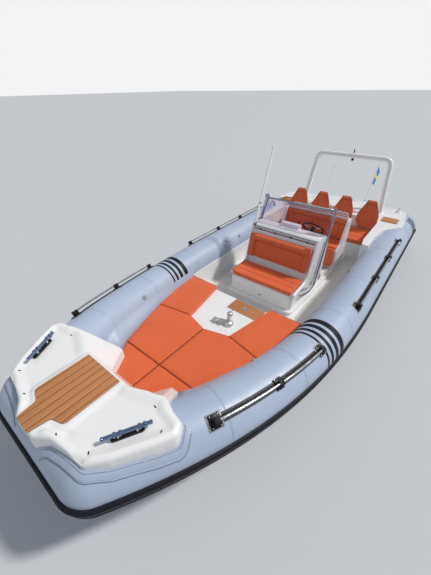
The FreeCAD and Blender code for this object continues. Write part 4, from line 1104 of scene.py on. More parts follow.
APRON_XS = (1.14, 1.6, 2.025, 2.4, 2.784, 2.82, 2.955, 2.965, 3.16)
APRON_YS = (0.966, 0.922, 0.835, 0.71, 0.582, 0.562, 0.488, 0.494, 0.615)
STEP_X = 2.957
LEDGE_EDGE_X, LEDGE_EDGE_Z, LEDGE_RISE = 2.891, 0.704, 0.11


def apron(side):
    """Fabric that falls from the tube's inner side to the edge of the bow cushions."""
    verts, size = [], 9
    xs = np.linspace(APRON_XS[0], APRON_XS[-1], 100)
    for x in xs:
        line = [on_tube(x, degrees, lift, side)[0] for degrees, lift in
                ((138, -0.004), (146, -0.002), (152, -0.0005), (157, 0.0), (162, 0.0004))]
        last = line[-1]
        y = float(np.interp(x, APRON_XS, APRON_YS)) * side
        foot = bow_pitched((x, y, PAD_TOP - 0.016))
        # The hull's ledge beside the cushions rises forward
        edge = Vector((x, y, LEDGE_EDGE_Z + LEDGE_RISE * (x - LEDGE_EDGE_X)))
        if edge.z < foot.z + 0.018:
            if (foot.y - last.y) * side > -0.004:
                foot.y = last.y - 0.004 * side
            foot.z = min(foot.z, last.z - 0.02)
            line += [last.lerp(foot, share) + UP * sag for share, sag in
                     ((0.3, 0.01), (0.6, 0.012), (0.85, 0.006), (1.0, 0.0))]
        else:
            if x > STEP_X:
                foot = edge - Vector((0, 0.002 * side, 0.006))
            line += [last.lerp(edge, 0.5) + UP * 0.008, edge, edge.lerp(foot, 0.5), foot]
        verts += line
    piece = new_mesh("apron", verts, grid_faces(len(xs), size, False), "tube", 60)
    thick = piece.modifiers.new("thick", "SOLIDIFY")
    thick.thickness = 0.001
    thick.offset = -1.0 * side
    # Painted shadow: a dark rubber welt along the apron's foot stands for the shadow line beside
    # the cushions
    feet = [verts[k * size + size - 1] for k in range(len(xs)) if xs[k] < STEP_X]
    return [applied(piece), bar("apron_welt", feet, 0.0055, "rubber", count=8)]


TUBE_JOINTS_X = (-2.35, -1.15, 0.05, 0.98, 2.02, 2.92)
VALVES_X = (-2.05, -0.3, 2.3)
VALVE = mm(36, -4, 36, 3, 30, 6, 24, 6, 22, 12, 10, 14, 0, 14)


def make_tube_trim():
    tapes, valves = [], []
    for offset, width, thick, finish in ((0.03, 0.06, 0.0012, "tape"),
                                         (0.062, 0.0045, 0.0024, "seam"),
                                         (0.016, 0.0045, 0.0026, "seam")):
        for line in flange_line(offset).values():
            tapes.append(strap("flange_tape", line, width, thick, finish))
    for side in SIDES:
        for x in TUBE_JOINTS_X:
            for start, end, count in ((8, 178, 48), (-36, -62, 10)):
                line = [on_tube(x, start + (end - start) * k / count, 0.0008, side)
                        for k in range(count + 1)]
                tapes.append(strap("joint", line, 0.034, 0.001, "tape"))
        for x in VALVES_X:
            place, away = on_tube(x, 146, 0.0, side)
            valves.append(turned_part("valve", place, away, VALVE, "grey_plastic"))
        tapes += apron(side)
    fitted(joined("tube_tapes", tapes))
    fitted(joined("tube_valves", valves))


# Cleats, hand rails, locker lid and anchor

def make_cleat_pair():
    horns, bases = [], []
    for side in SIDES:
        aft = Vector((3.461, 0.745 * side, DECK_TOP - 0.01))
        fore = Vector((3.759, 0.58 * side, DECK_TOP - 0.01))
        run = (fore - aft).normalized()

        def at(share, lift):
            return bow_pitched(aft.lerp(fore, share)) + BOW_UP * lift

        section = mm(-21, -6, 21, -6, 21, 6, 14, 11, -14, 11, -21, 6)
        bases.append(sweep("base", [at(0.2, 0.008), at(0.8, 0.008)], section, "plastic",
                           [BOW_UP, BOW_UP]))
        for share in (0.2, 0.8):
            profile = mm(21, 0, 21, 12, 15, 17, 0, 17)
            bases.append(turned_part("base_end", at(share, 0.002), BOW_UP, profile, "plastic", 20))
        # The horn's blue finish is painted reflection of sky and sea
        horns.append(bar("horn", [at(share, 0.052) for share in (0.0, 0.25, 0.5, 0.75, 1.0)],
                         0.0155, "horn_steel", count=20))
        for share, sign in ((0.0, -1), (1.0, 1)):
            profile = mm(15.5, -4, 17.5, 0, 17.5, 6, 12, 13, 0, 16)
            horns.append(turned_part("tip", at(share, 0.052), run * sign, profile,
                                     "horn_steel", 20))
        for share in (0.13, 0.24, 0.64, 0.76):
            profile = mm(16, -2, 22.5, 2, 22.5, 18, 16, 22)
            horns.append(turned_part("collar", at(share, 0.052) - run * 0.01, run, profile,
                                     "horn_steel", 20))
        for share in (0.3, 0.7):
            profile = mm(19, 0, 15, 10, 13, 30, 15, 46)
            horns.append(turned_part("post", at(share, 0.004), BOW_UP, profile, "stainless", 20))
    fitted(joined("cleat_horns", horns), ROOT, ["bow_cleats"])
    fitted(joined("cleat_bases", bases))


RAIL_DEGREES = 55.0
RAIL_RISE = 0.052
RAIL_BRACKETS = ((3.04, 2.372, 1.69), (0.664, -0.157, -0.917, -1.68))


def pad_on_tube(x, side, length, width, low, high, finish, bevel=0.004, segments=2):
    """A block bent to the tube's surface at the rail's shoulder."""
    spread = math.degrees(width / 2 / TUBE_R)
    count = 8
    verts = []
    for k in range(count + 1):
        degrees = RAIL_DEGREES - spread + 2 * spread * k / count
        for dx, lift in ((-0.5, low), (-0.5, high), (0.5, high), (0.5, low)):
            verts.append(on_tube(x + dx * length, degrees, lift, side)[0])
    faces = grid_faces(count + 1, 4) + [(0, 3, 2, 1), tuple(4 * count + k for k in range(4))]
    piece = new_mesh("pad", verts, faces, finish, None)
    edges = piece.modifiers.new("edges", "BEVEL")
    edges.width = bevel
    edges.segments = segments
    edges.limit_method = "ANGLE"
    edges.angle_limit = math.radians(50)
    applied(piece)
    shade(piece)
    return piece


def make_hand_rails():
    rods, trims = [], []
    for side, group in ((side, group) for side in SIDES for group in RAIL_BRACKETS):
        fore, aft = group[0], group[-1]
        line = run_line(aft - 0.01, fore + 0.01, RAIL_DEGREES, side, RAIL_RISE)
        rods.append(sweep("rod", [p for p, _ in line], circle(0.0115, 16), "stainless",
                          [n for _, n in line], smooth=60.0))
        base = run_line(aft, fore, RAIL_DEGREES, side, 0.0)
        trims.append(strap("strip", base, 0.078, 0.003, "strip"))
        # Painted shadow: a black strip on the upper, inboard side of the base strip stands for the
        # rod's shadow
        inner = run_line(aft, fore, RAIL_DEGREES + 4.4, side, 0.0009)
        trims.append(strap("strip_inner", inner, 0.037, 0.0033, "plastic"))
        rib = mm(-20, 2, 20, 2, 16, 11, -16, 11)
        trims.append(sweep("rib", [p for p, _ in base], rib, "plastic", [n for _, n in base]))
        for x in group:
            end = x in (fore, aft)
            if end:
                trims.append(pad_on_tube(x, side, 0.128, 0.134, -0.001, 0.005, "grey_plastic",
                                         0.002))
            trims.append(pad_on_tube(x, side, 0.094, 0.112 if end else 0.104, -0.001, 0.016,
                                     "plastic"))
            trims.append(pad_on_tube(x, side, 0.052, 0.046, 0.012, RAIL_RISE + 0.016, "plastic",
                                     0.006, 3))
            for dx, turn in ((dx, turn) for dx in (-0.034, 0.034) for turn in (-9.0, 9.0)):
                place, away = on_tube(x + dx, RAIL_DEGREES + turn, 0.014, side)
                profile = mm(5, 0, 5, 3, 3, 4.2, 0, 4.2)
                rods.append(turned_part("screw", place, away, profile, "stainless", 12))
    fitted(joined("rail_rods", rods), ROOT, ["hand_rails"])
    fitted(joined("rail_trim", trims))


LID_LOW, LID_HIGH = Vector((1.15, -0.09, 0.456)), Vector((1.395, 0.41, 0.48))


def make_locker_lid():
    ring = rectangle(LID_LOW.y, LID_HIGH.y, LID_LOW.x, LID_HIGH.x)
    outline = rounded(flat(ring), 0.012, 4)

    def place(p):
        return bow_pitched((p.y, p.x, p.z))

    made = [slab("lid_core", [place(Vector((p.x, p.y, LID_LOW.z))) for p in outline], BOW_UP,
                 0.014, "gelcoat", 0.002)]
    made += planked(outline, LID_LOW.z + 0.0138, 0.0105, place, 0.049, "teak_across", LID_LOW.x)
    fitted(joined("locker_lid_planks", made), "bow_locker_lid", ["bow_locker_lid"])
    middle = (LID_LOW + LID_HIGH) / 2
    centre = bow_pitched((middle.x, middle.y, LID_HIGH.z))
    profile = mm(40, -2, 40, 2, 34, 4, 26, 4, 24, 2, 0, 2)
    loop = ring_about(centre + BOW_UP * 0.0065, BOW_UP, 0.029, 32)
    made = [turned_part("boss", centre, BOW_UP, profile, "stainless", 32),
            bar("pull", loop, 0.0032, "stainless", closed=True, count=10)]
    fitted(joined("locker_lid_pull", made), "bow_locker_lid")


def make_anchor_gear():
    foot = Vector((1.69, 0.15, 0.4803))

    def at(x, y, z):
        return bow_pitched(foot + Vector((x, y, z)))

    dome = mm(70, 0, 73, 6, 68, 26, 55, 43, 36, 54, 14, 59, 0, 59.5)
    post = mm(34, 0, 29, 45, 26, 80, 37, 100, 41, 122, 35, 142, 16, 152, 0, 153)
    neck, tip = at(0, 0, 0.045), at(0.06, -0.17, 0.04)
    half = Vector((0.042, 0.028, 0.012))
    loop = ring_about(at(-0.044, 0.011, 0.206), Vector((0.3, 1, 0)).normalized(), 0.02, 24)
    made = [turned_part("dome", at(0, 0, 0), BOW_UP, dome, "cast", 36, 50),
            turned_part("post", neck, at(-0.036, 0.009, 0.21) - neck, post, "cast", 28, 50),
            bar("arm", [at(0, 0, 0.034), at(0.03, -0.09, 0.045), tip], 0.023, "cast",
                [0, 0.08, 0]),
            block("palm", tip - half, tip + half, "cast", 0.006,
                  Matrix.Rotation(math.radians(70), 3, "Z")),
            bar("shackle", loop, 0.005, "stainless", closed=True, count=10)]
    for x, y in ((0.045, 0.0), (-0.045, 0.0), (0.0, 0.045), (0.0, -0.045)):
        made.append(turned_part("bolt", at(x, y, 0.0), BOW_UP,
                                mm(7, 20, 7, 26, 0, 28), "stainless", 12))
    fitted(joined("anchor_gear", made), ROOT, ["anchor"])
    profile = mm(8, 0, 8, 2, 5, 3.5, 0, 3.5)
    screws = [turned_part("screw", at(x, y, -0.001), BOW_UP, profile, "cast", 14)
              for x, y in ((0.115, 0.05), (0.125, -0.06), (0.16, 0.0))]
    fitted(joined("locker_screws", screws))


# Trim of the console, the helm and the sole

def upright(centre, across, along, width, height, corner):
    """Rounded rectangle on a surface and its outward direction, across x along."""
    u, v = Vector(across).normalized(), Vector(along).normalized()
    ring = rounded(flat(rectangle(-width / 2, width / 2, -height / 2, height / 2)), corner, 5)
    return [Vector(centre) + u * p.x + v * p.y for p in ring], u.cross(v)


def plate(name, centre, across, along, width, height, thick, finish, corner=0.01, bevel=0.001):
    """A rounded plate standing on a surface."""
    ring, out = upright(centre, across, along, width, height,
                        min(corner, width * 0.49, height * 0.49))
    return slab(name, [p - out * 0.001 for p in ring], out, thick + 0.001, finish,
                min(bevel, thick * 0.4))


def outline_groove(centre, across, along, width, height, corner=0.04, radius=0.0018):
    """A thin dark line round a hatch or panel."""
    ring, _ = upright(centre, across, along, width, height, corner)
    return bar("groove", ring, radius, "seam", closed=True, count=8)


CONSOLE_FACE_LOW = Vector((0.172, 0, 0.532))
CONSOLE_FACE_HIGH = Vector((-0.015, 0, 1.19))


def make_console_trim():
    rise = (CONSOLE_FACE_HIGH - CONSOLE_FACE_LOW).normalized()
    length = (CONSOLE_FACE_HIGH - CONSOLE_FACE_LOW).length
    out = Y.cross(rise)

    def face(y, drop, lift=0.0):
        return CONSOLE_FACE_LOW + rise * (length - drop) + Y * y + out * lift

    greys = [plate("dash_strip", face(0, 0.044), Y, rise, 1.13, 0.062, 0.005, "inlay", 0.006)]
    darks, arms, steels = [], [], []
    for drop, wide in ((0.018, 0.006), (0.062, 0.011)):
        darks.append(plate("dash_line", face(0, drop, 0.005), Y, rise, 1.12, wide, 0.0014,
                           "plastic", 0.002))
    for y in (-0.42, -0.14, 0.14, 0.42):
        darks.append(plate("dash_snap", face(y, 0.058, 0.005), Y, rise, 0.034, 0.024, 0.007,
                           "plastic", 0.006))
    darks.append(plate("bench_latch", (0.64, 0.02, 0.315), Y, UP, 0.052, 0.014, 0.003,
                       "plastic", 0.006))
    for side in SIDES:
        # A raised white arm down the front face and along the bench, beside the cushions
        arm = [(x, 0.572 * side, z) for x, z in ((-0.012, 1.15), (0.172, 0.545), (0.612, 0.512))]
        line = spaced(rounded(arm, [0, 0.16, 0], 10, False), 0.04)
        ways = []
        for i in range(len(line)):
            run = (line[min(i + 1, len(line) - 1)] - line[max(i - 1, 0)]).normalized()
            ways.append(Vector((-run.z, 0, run.x)) * (1 if run.x > 0 else -1))
        arc = [(0.026 * math.cos(a), 0.034 * math.sin(a)) for a in np.linspace(0, math.pi, 9)]
        arms.append(sweep("arm", line, mm(-26, -12, 26, -12) + arc, "gelcoat", ways, smooth=50))
        # Hatch line, latch, hinges, speaker and hand rail on the console's side
        wall = 0.6 * side
        across = (-side, 0, 0)
        darks.append(outline_groove((-0.16, wall, 0.62), across, UP, 0.36, 0.5))
        steels.append(plate("side_latch", (-0.3, wall, 0.62), across, UP, 0.03, 0.046, 0.004,
                            "stainless", 0.008))
        for z in (0.46, 0.78):
            steels.append(plate("side_hinge", (0.022, wall, z), across, UP, 0.02, 0.05, 0.004,
                                "stainless", 0.003))
        greys.append(plate("speaker", (-0.4, wall, 0.36), across, UP, 0.11, 0.11, 0.006,
                           "grey_plastic", 0.05, 0.002))
        rail = [(x, 0.612 * side, z) for x, z in
                ((0.33, 0.505), (0.07, 0.4), (-0.075, 0.52), (-0.225, 1.08))]
        steels.append(bar("hand_rail", rail, 0.008, "stainless", [0, 0.06, 0.06, 0], count=12))
        for x, _, z in (rail[0], rail[-1]):
            profile = mm(20, 0, 20, 4, 12, 10, 9, 20)
            steels.append(turned_part("rail_foot", (x, 0.598 * side, z), (0, side, 0), profile,
                                      "stainless", 18))
    fitted(joined("console_greys", greys))
    fitted(joined("console_darks", darks))
    fitted(joined("console_borders", arms))
    fitted(joined("console_steels", steels))


SOLE_Z, PLINTH_Z = 0.1796, 0.2394
HELM_FACE_AFT = Vector((-0.3, 0, 1.188))
HELM_FACE_FORE = Vector((-0.48, 0, 1.01))


def make_instruments():
    """Dials, switches and a screen on the helm's side of the console."""
    up = (HELM_FACE_AFT - HELM_FACE_FORE).normalized()
    out = up.cross(Y)

    def at(y, share, lift=0.0):
        return HELM_FACE_AFT.lerp(HELM_FACE_FORE, share) + Y * y + out * lift

    made = [plate("panel", at(0.0, 0.5), Y, up, 0.24, 0.17, 0.004, "plastic", 0.012),
            plate("plotter", at(0.0, 0.46, 0.004), Y, up, 0.2, 0.125, 0.006, "dial", 0.008)]
    ring = mm(46, 0, 46, 6, 41, 10, 39, 7, 0, 7)
    for y in (-0.36, -0.25):
        made.append(turned_part("dial_ring", at(y, 0.45), out, ring, "plastic", 32))
        made.append(turned_part("dial_face", at(y, 0.45, 0.0065), out,
                                mm(38, 0, 36, 2, 0, 3), "dial", 32))
    for k in range(6):
        made.append(plate("switch", at(-0.4 + 0.036 * k, 0.8), Y, up, 0.024, 0.034, 0.007,
                          "plastic", 0.004))
    fitted(joined("helm_instruments", made))
    made = []
    aft = (-0.95, 0, 0.31)
    for y in (-0.09, 0.0, 0.09):
        place = (-0.309, y, 1.216)
        made.append(turned_part("pod_ring", place, aft, mm(34, -4, 34, 4, 30, 7, 0, 5), "plastic"))
        made.append(turned_part("pod_face", place, aft, mm(28, 4, 27, 6.5, 0, 7), "dial"))
    fitted(joined("pod_dials", made))


WHEEL_HUB = Vector((-0.5, 0.29, 1.165))
WHEEL_AXIS = Vector((-1, 0, 1)).normalized()
WHEEL_R = 0.175


def make_wheel():
    other = WHEEL_AXIS.cross(Y)

    def at(radius, degrees, lift=0.0):
        angle = math.radians(degrees)
        out = Y * math.cos(angle) + other * math.sin(angle)
        return WHEEL_HUB + out * radius + WHEEL_AXIS * lift

    # The grip swells and narrows a little, 24 times round
    count, size = 144, 14
    verts = []
    for k in range(count):
        p = at(WHEEL_R, 360 * k / count)
        n = (p - WHEEL_HUB).normalized()
        swell = 0.0132 - 0.0012 * (0.5 + 0.5 * math.cos(k * 2 * math.pi / 6)) ** 2
        verts += [p + n * a + WHEEL_AXIS * b for a, b in circle(swell, size)]
    hub = mm(36, 0, 38, 18, 34, 30, 20, 36, 0, 37)
    grips = [new_mesh("rim", verts, grid_faces(count, size, closed=True), "rubber", 60),
             turned_part("hub_cap", WHEEL_HUB - WHEEL_AXIS * 0.021, WHEEL_AXIS, hub, "plastic",
                         32)]
    section = mm(-12, -3, 12, -3, 12, 3, -12, 3)
    spokes = []
    for turn in (90, 210, 330):
        line = [at(0.02, turn, -0.006), at(0.08, turn, -0.012), at(0.166, turn, 0.0)]
        spokes.append(sweep("spoke", rounded(line, [0, 0.2, 0], 6, False), section, "stainless",
                            [WHEEL_AXIS] * 9))
    fitted(joined("wheel_rim", grips), "helm_wheel", ["steering_wheel"])
    fitted(joined("wheel_spokes", spokes), "helm_wheel")


def make_throttle():
    knob = mm(0, -24, 10, -22, 14, -10, 18, 4, 16, 16, 8, 22, 0, 23)
    lever = [(-0.39, 0.065, 1.13), (-0.392, 0.065, 1.18), (-0.405, 0.065, 1.235)]
    made = [block("base", (-0.428, 0.028, 1.02), (-0.348, 0.102, 1.118), "plastic", 0.01),
            block("foot", (-0.425, 0.03, 1.085), (-0.352, 0.1, 1.15), "grey_plastic", 0.014,
                  Matrix.Rotation(math.radians(-45), 3, "Y")),
            bar("lever", lever, 0.0075, "stainless", [0, 0.06, 0]),
            turned_part("knob", (-0.405, 0.065, 1.238), (-0.25, 0, 1), knob, "rubber", 24)]
    fitted(joined("throttle_lever", made), ROOT, ["throttle"])


def make_helm_seat_trim():
    made = []
    for side in SIDES:
        wall = 0.64 * side
        made.append(outline_groove((-1.235, wall, 0.44), (-side, 0, 0), UP, 0.34, 0.26, 0.03))
        made.append(plate("locker_latch", (-1.235, wall, 0.53), (-side, 0, 0), UP, 0.04, 0.022,
                          0.004, "stainless", 0.006))
        made.append(plate("back_hinge", (-1.5, 0.28 * side, 0.365), -Y, UP, 0.06, 0.022, 0.005,
                          "stainless", 0.004))
    made.append(outline_groove((-1.501, 0, 0.62), -Y, UP, 0.8, 0.5))
    made.append(plate("back_latch", (-1.5, 0, 0.82), -Y, UP, 0.06, 0.026, 0.004, "stainless",
                      0.008))
    fitted(joined("helm_seat_fittings", made))
    made = [bar("rail_line", [(-1.47, -0.56, z), (-1.47, 0.56, z)], 0.0075, "stainless",
                count=12) for z in (1.135, 1.16)]
    foot = mm(22, -4, 22, 6, 14, 14, 10, 22)
    made += [turned_part("post_foot", (-1.461, y, 1.108), UP, foot, "stainless", 20)
             for y in (-0.56, -0.19, 0.19, 0.56)]
    fitted(joined("helm_rail_lines", made))


def make_sole():
    """Non-skid panels on the cockpit sole, 3.6 mm thick, with a plain margin round each."""
    fore = mm(715, -955, 1118, -940, 1118, 940, 715, 955)
    panels = [(fore, 0.03, SOLE_Z)]
    panels += [(rectangle(-1.735, 0.69, 0.672 * side, 0.968 * side), 0.03, SOLE_Z)
               for side in SIDES]
    panels += [(rectangle(x0, x1, -0.62, 0.62), 0.02, PLINTH_Z)
               for x0, x1 in ((-0.98, -0.5), (-1.735, -1.52))]
    made = [slab("panel", [Vector((p.x, p.y, z)) for p in rounded(flat(ring), radius, 5)], UP,
                 0.0036, "nonskid", 0.001) for ring, radius, z in panels]
    fitted(joined("sole_panels", made))
    profile = mm(30, 0, 30, 3.5, 24, 4.5, 0, 3)
    drains = [turned_part("drain", (-1.68, 0.94 * side, 0.1815), UP, profile, "stainless")
              for side in SIDES]
    fitted(joined("sole_drains", drains))


# Hoop, lights, flags and fittings of the stern

HOOP_FOOT = Vector((-2.83, 0.86, 0.86))
HOOP_TOP = Vector((-2.957, 0.748, 1.885))


def make_hoop():
    path = [(x, y * side, z) for side in SIDES for x, y, z in (HOOP_FOOT, HOOP_TOP)[::side]]
    line = rounded(path, [0, 0.13, 0.13, 0], 14, False)
    half, round_by, groove, deep = 0.047, 0.024, 0.0055, 0.006
    section = []
    for cx, cy, start in ((1, 1, 0), (-1, 1, 90), (-1, -1, 180), (1, -1, 270)):
        for k in range(5):
            angle = math.radians(start + 90 * k / 4)
            section.append(((half - round_by) * cx + round_by * math.cos(angle),
                            (half - round_by) * cy + round_by * math.sin(angle)))
        if cy == cx:
            section += [(groove * share * cy, (half - depth) * cy) for share, depth in
                        ((1, 0), (0.8, deep), (-0.8, deep), (-1, 0))]
    ahead = Vector((1, 0, 0.12)).normalized()
    whites = [sweep("hoop", line, section, "white_paint", [ahead] * len(line), smooth=30)]
    steels = []
    inlay = [(-groove * 0.75, -0.001), (groove * 0.75, -0.001), (groove * 0.75, 0.0015),
             (-groove * 0.75, 0.0015)]
    flange = mm(74, 0, 75, 10, 70, 14, 52, 18, 47, 34, 40, 44)
    for side in SIDES:
        shifted_line = [p + ahead * ((half - deep + 0.001) * side) for p in line]
        steels.append(sweep("groove", shifted_line, inlay, "inlay", [ahead] * len(line)))
        foot = Vector((HOOP_FOOT.x, HOOP_FOOT.y * side, HOOP_FOOT.z))
        whites.append(turned_part("flange", foot, UP, flange, "white_paint", 40))
        for k in range(6):
            angle = math.radians(60 * k + 30)
            place = foot + Vector((math.cos(angle) * 0.061, math.sin(angle) * 0.061, 0.012))
            steels.append(turned_part("bolt", place, UP, mm(6, 0, 6, 5, 3, 7, 0, 7),
                                      "stainless", 6))
    fitted(joined("hoop_frame", whites), ROOT, ["stern_hoop"])
    fitted(joined("hoop_inlays", steels))

    foot = Vector((-2.957, 0, 1.99))
    run = Vector((-3.01, 0.006, 2.498)) - foot
    base = mm(18, 0, 18, 12, 12, 18, 11, 70, 7, 86, 0, 88)
    whip = [(0.0042, 0.0), (0.0038, 0.15), (0.003, 0.4), (0.0022, run.length - 0.004),
            (0.0, run.length)]
    collar = mm(7, 0, 7, 30, 5, 40, 0, 41)
    made = [turned_part("whip_base", (HOOP_TOP.x, 0, HOOP_TOP.z + 0.036), UP, base, "plastic", 24),
            turned_part("whip", foot, run, whip, "white_paint", 12, 60),
            turned_part("whip_collar", foot - run.normalized() * 0.012, run, collar,
                        "stainless", 16)]
    fitted(joined("whip", made), ROOT, ["whip_aerial"])
    made = [turned_part("lamp_body", (HOOP_TOP.x, 0, 1.776), UP,
                        mm(0, 0, 20, 1, 25, 8, 27, 18), "lens", 32),
            turned_part("lamp_ring", (HOOP_TOP.x, 0, 1.794), UP,
                        mm(28, 0, 28, 12, 22, 20, 20, 56), "plastic", 32)]
    fitted(joined("hoop_lamp", made), ROOT, ["stern_lamp"])


def make_light_pole():
    low, top = Vector((-0.02, -0.5585, 1.19)), Vector((-0.489, -0.6, 2.29))
    run = top - low
    ahead = run.normalized()
    rows = ((low, [(0.0215, 0.0), (0.0215, 0.3), (0.0195, 0.34), (0.017, run.length)],
             "white_paint", 20, 50),
            ((-0.022, -0.5585, 1.18), mm(30, -6, 30, 6, 26, 12, 25, 50, 21.5, 56), "plastic"),
            (low + run * 0.28, mm(21.5, 0, 23.5, 4, 23.5, 30, 20.5, 36), "stainless", 24),
            (top - ahead * 0.006, mm(12, 0, 19, 8, 19, 18), "white_paint"),
            (top + ahead * 0.012, mm(18.5, 0, 18.5, 30, 16, 36), "lens"),
            (top + ahead * 0.046, mm(19.5, 0, 19, 8, 10, 14, 0, 14.5), "white_paint"))
    made = [turned_part("pole", place, run, *rest) for place, *rest in rows]
    fitted(joined("masthead_light", made), ROOT, ["light_pole"])


STAFFS = (
    # foot, top, radius
    (Vector((-3.17, 0.43, 0.905)), Vector((-3.4, 0.47, 1.77)), 0.012),
    (Vector((-3.17, -0.44, 0.905)), Vector((-3.19, -0.45, 1.64)), 0.007),
)


def make_staffs():
    made = []
    for foot, top, radius in STAFFS:
        run = top - foot
        long = run.length
        staff = [(1, 0.0), (0.92, long * 0.6), (0.8, long - 0.012), (1.25, long - 0.008),
                 (1.25, long - 0.002), (0.0, long)]
        socket = mm(2200, 0, 2200, 6, 1500, 12, 1300, 45, 1100, 48)
        made.append(turned_part("staff", foot, run, [(radius * share, z) for share, z in staff],
                                "white_paint", 20, 50))
        made.append(turned_part("socket", foot, UP, [(radius * share, z) for share, z in socket],
                                "stainless", 24))
    fitted(joined("staffs", made), ROOT, ["flag_staffs"])


def cloth_flag(name, node, staff, low, high, length, droop, swing_by, waves, is_marked, finishes):
    """A flag held along its staff, its fly falling in folds."""
    foot, top, radius = staff
    run = top - foot
    across, down = 48, 30
    verts = []
    # Along each thread the arc length is kept, so the cloth isn't stretched
    for j in range(down + 1):
        v = j / down
        z = high + (low - high) * v
        here = foot + run * ((z - foot.z) / run.z) - X_DIR * (radius + 0.002)
        verts.append(here.copy())
        for i in range(1, across + 1):
            u = (i - 0.5) / across
            swing = (math.radians(swing_by) * math.sin(waves * u * math.pi + 1.1 * v)
                     * min(1.0, 3 * u))
            fall = math.radians(droop * min(1.0, 0.4 + 1.6 * u) * (1 - 0.12 * v))
            step = Vector((-math.cos(fall) * math.cos(swing), math.cos(fall) * math.sin(swing),
                           -math.sin(fall)))
            here = here + step * (length / across)
            verts.append(here.copy())
    mesh = bpy.data.meshes.new(name)
    mesh.from_pydata([tuple(v) for v in verts], [], grid_faces(down + 1, across + 1, False))
    for finish in finishes:
        mesh.materials.append(use(finish))
    for k, face in enumerate(mesh.polygons):
        j, i = divmod(k, across)
        face.material_index = int(is_marked((i + 0.5) / across, (j + 0.5) / down))
        face.use_smooth = True
    piece = placed(name, mesh)
    fitted(piece, ROOT, [node])
    return piece


def make_flags():
    def cross(u, v):
        return 0.31 < u < 0.44 or 0.4 < v < 0.6

    def spot(u, v):
        return (u - 0.5) ** 2 * 1.2 + (v - 0.5) ** 2 < 0.085

    ensign = cloth_flag("ensign_cloth", "ensign", STAFFS[0], 1.322, 1.636, 0.3, 28, 44, 3.2,
                        cross, ("flag_blue", "flag_yellow"))
    pennant = cloth_flag("pennant_cloth", "pennant", STAFFS[1], 1.528, 1.622, 0.135, 14, 34, 2.6,
                         spot, ("flag_white", "flag_red"))


def make_stern_trim():
    made, lines = [], []
    post = mm(16, 0, 14, 4, 9, 14, 9, 34, 11, 42)
    for side in SIDES:
        # A locker's line and latch, a mooring cleat and a hinge of the engine hatch
        lines.append(outline_groove((-3.03, 0.86 * side, 0.8603), X_DIR, Y, 0.28, 0.36, 0.03,
                                    0.0016))
        made.append(plate("deck_latch", (-3.03, 0.72 * side, 0.86), X_DIR, Y, 0.046, 0.026,
                          0.004, "stainless", 0.008))
        foot = Vector((-3.1, 1.16 * side, 0.86))
        made += [turned_part("cleat_post", foot + X_DIR * dx, UP, post, "stainless", 18)
                 for dx in (-0.035, 0.035)]
        horn = [foot + Vector((dx, 0, rise)) for dx, rise in
                ((-0.105, 0.052), (-0.045, 0.043), (0.045, 0.043), (0.105, 0.052))]
        made.append(bar("cleat_horn", horn, 0.0095, "stainless", [0, 0.1, 0.1, 0]))
        made.append(plate("hatch_hinge", (-2.36, 0.3 * side, 0.9052), Y, -X_DIR, 0.07, 0.022,
                          0.006, "stainless", 0.004))
    fitted(joined("stern_fittings", made))
    fitted(joined("stern_lines", lines))
    lid = [outline_groove((-2.755, 0, 0.9318), X_DIR, Y, 0.6, 0.92, 0.06, 0.0014),
           plate("hatch_latch", (-3.06, 0, 0.9313), X_DIR, Y, 0.04, 0.09, 0.004, "stainless",
                 0.01)]
    fitted(joined("hatch_fittings", lid), "engine_hatch")
    bolt = mm(14, 0, 14, 3, 10, 3, 10, 11, 0, 12)
    bolts = [turned_part("mount_bolt", (-3.2945, y, z), -X_DIR, bolt, "stainless", 6)
             for y in (-0.15, 0.15) for z in (-0.16, 0.0, 0.16)]
    fitted(joined("mount_bolts", bolts))
    leg = []
    bolt = mm(10, 0, 10, 6, 6, 9, 0, 9)
    for side in SIDES:
        leg += [turned_part("leg_bolt", (x, 0.0945 * side, z), (0, side, 0), bolt, "stainless", 12)
                for x, z in ((-3.56, 0.06), (-3.66, -0.02), (-3.56, -0.2))]
        leg.append(plate("leg_cover", (-3.62, 0.095 * side, -0.11), (-side, 0, 0), UP, 0.13, 0.17,
                         0.004, "drive_paint", 0.03, 0.0015))
    fitted(joined("leg_fittings", leg), "drive_leg")


HULL_STATIONS = (
    # x, keel z, chine y, chine z
    (-3.25, -0.47, 1.01, -0.07),
    (-1.5, -0.47, 1.04, -0.065),
    (0.5, -0.46, 1.04, -0.04),
    (1.7, -0.41, 0.96, 0.04),
    (2.6, -0.27, 0.74, 0.17),
    (3.2, -0.03, 0.5, 0.33),
    (3.6, 0.26, 0.29, 0.5),
)


def make_spray_rails():
    made = []
    for share, last in ((0.34, 5), (0.66, 6)):
        for side in SIDES:
            points, normals = [], []
            for x, keel_z, chine_y, chine_z in HULL_STATIONS[:last]:
                points.append(Vector((x, chine_y * share * side,
                                      keel_z + (chine_z - keel_z) * share)))
                rise = Vector((0, chine_y * side, chine_z - keel_z)).normalized()
                normals.append(Vector((0, rise.z * side, -rise.y)))
            fine = [a.lerp(b, k / 8) for a, b in zip(points, points[1:]) for k in range(8)]
            ways = [a.lerp(b, k / 8) for a, b in zip(normals, normals[1:]) for k in range(8)]
            section = mm(-22, -4, 22, -4, 22, 4, 16, 16, 8, 18, -20, 3)
            if side < 0:
                section = [(-a, b) for a, b in reversed(section)]
            made.append(sweep("spray_rail", fine + points[-1:], section, "gelcoat",
                              ways + normals[-1:]))
    fitted(joined("spray_rails", made))


# The stage

CAMERA_PLACE = Vector((4.007346, 1.835368, 3.143735))
CAMERA_AHEAD = Vector((-0.630352, -0.516403, -0.579642))
CAMERA_RIGHT = Vector((-0.626498, 0.779315, -0.012984))
CAMERA_UP = Vector((-0.458429, -0.35496, 0.814768))
CAMERA_LENS = 17.762


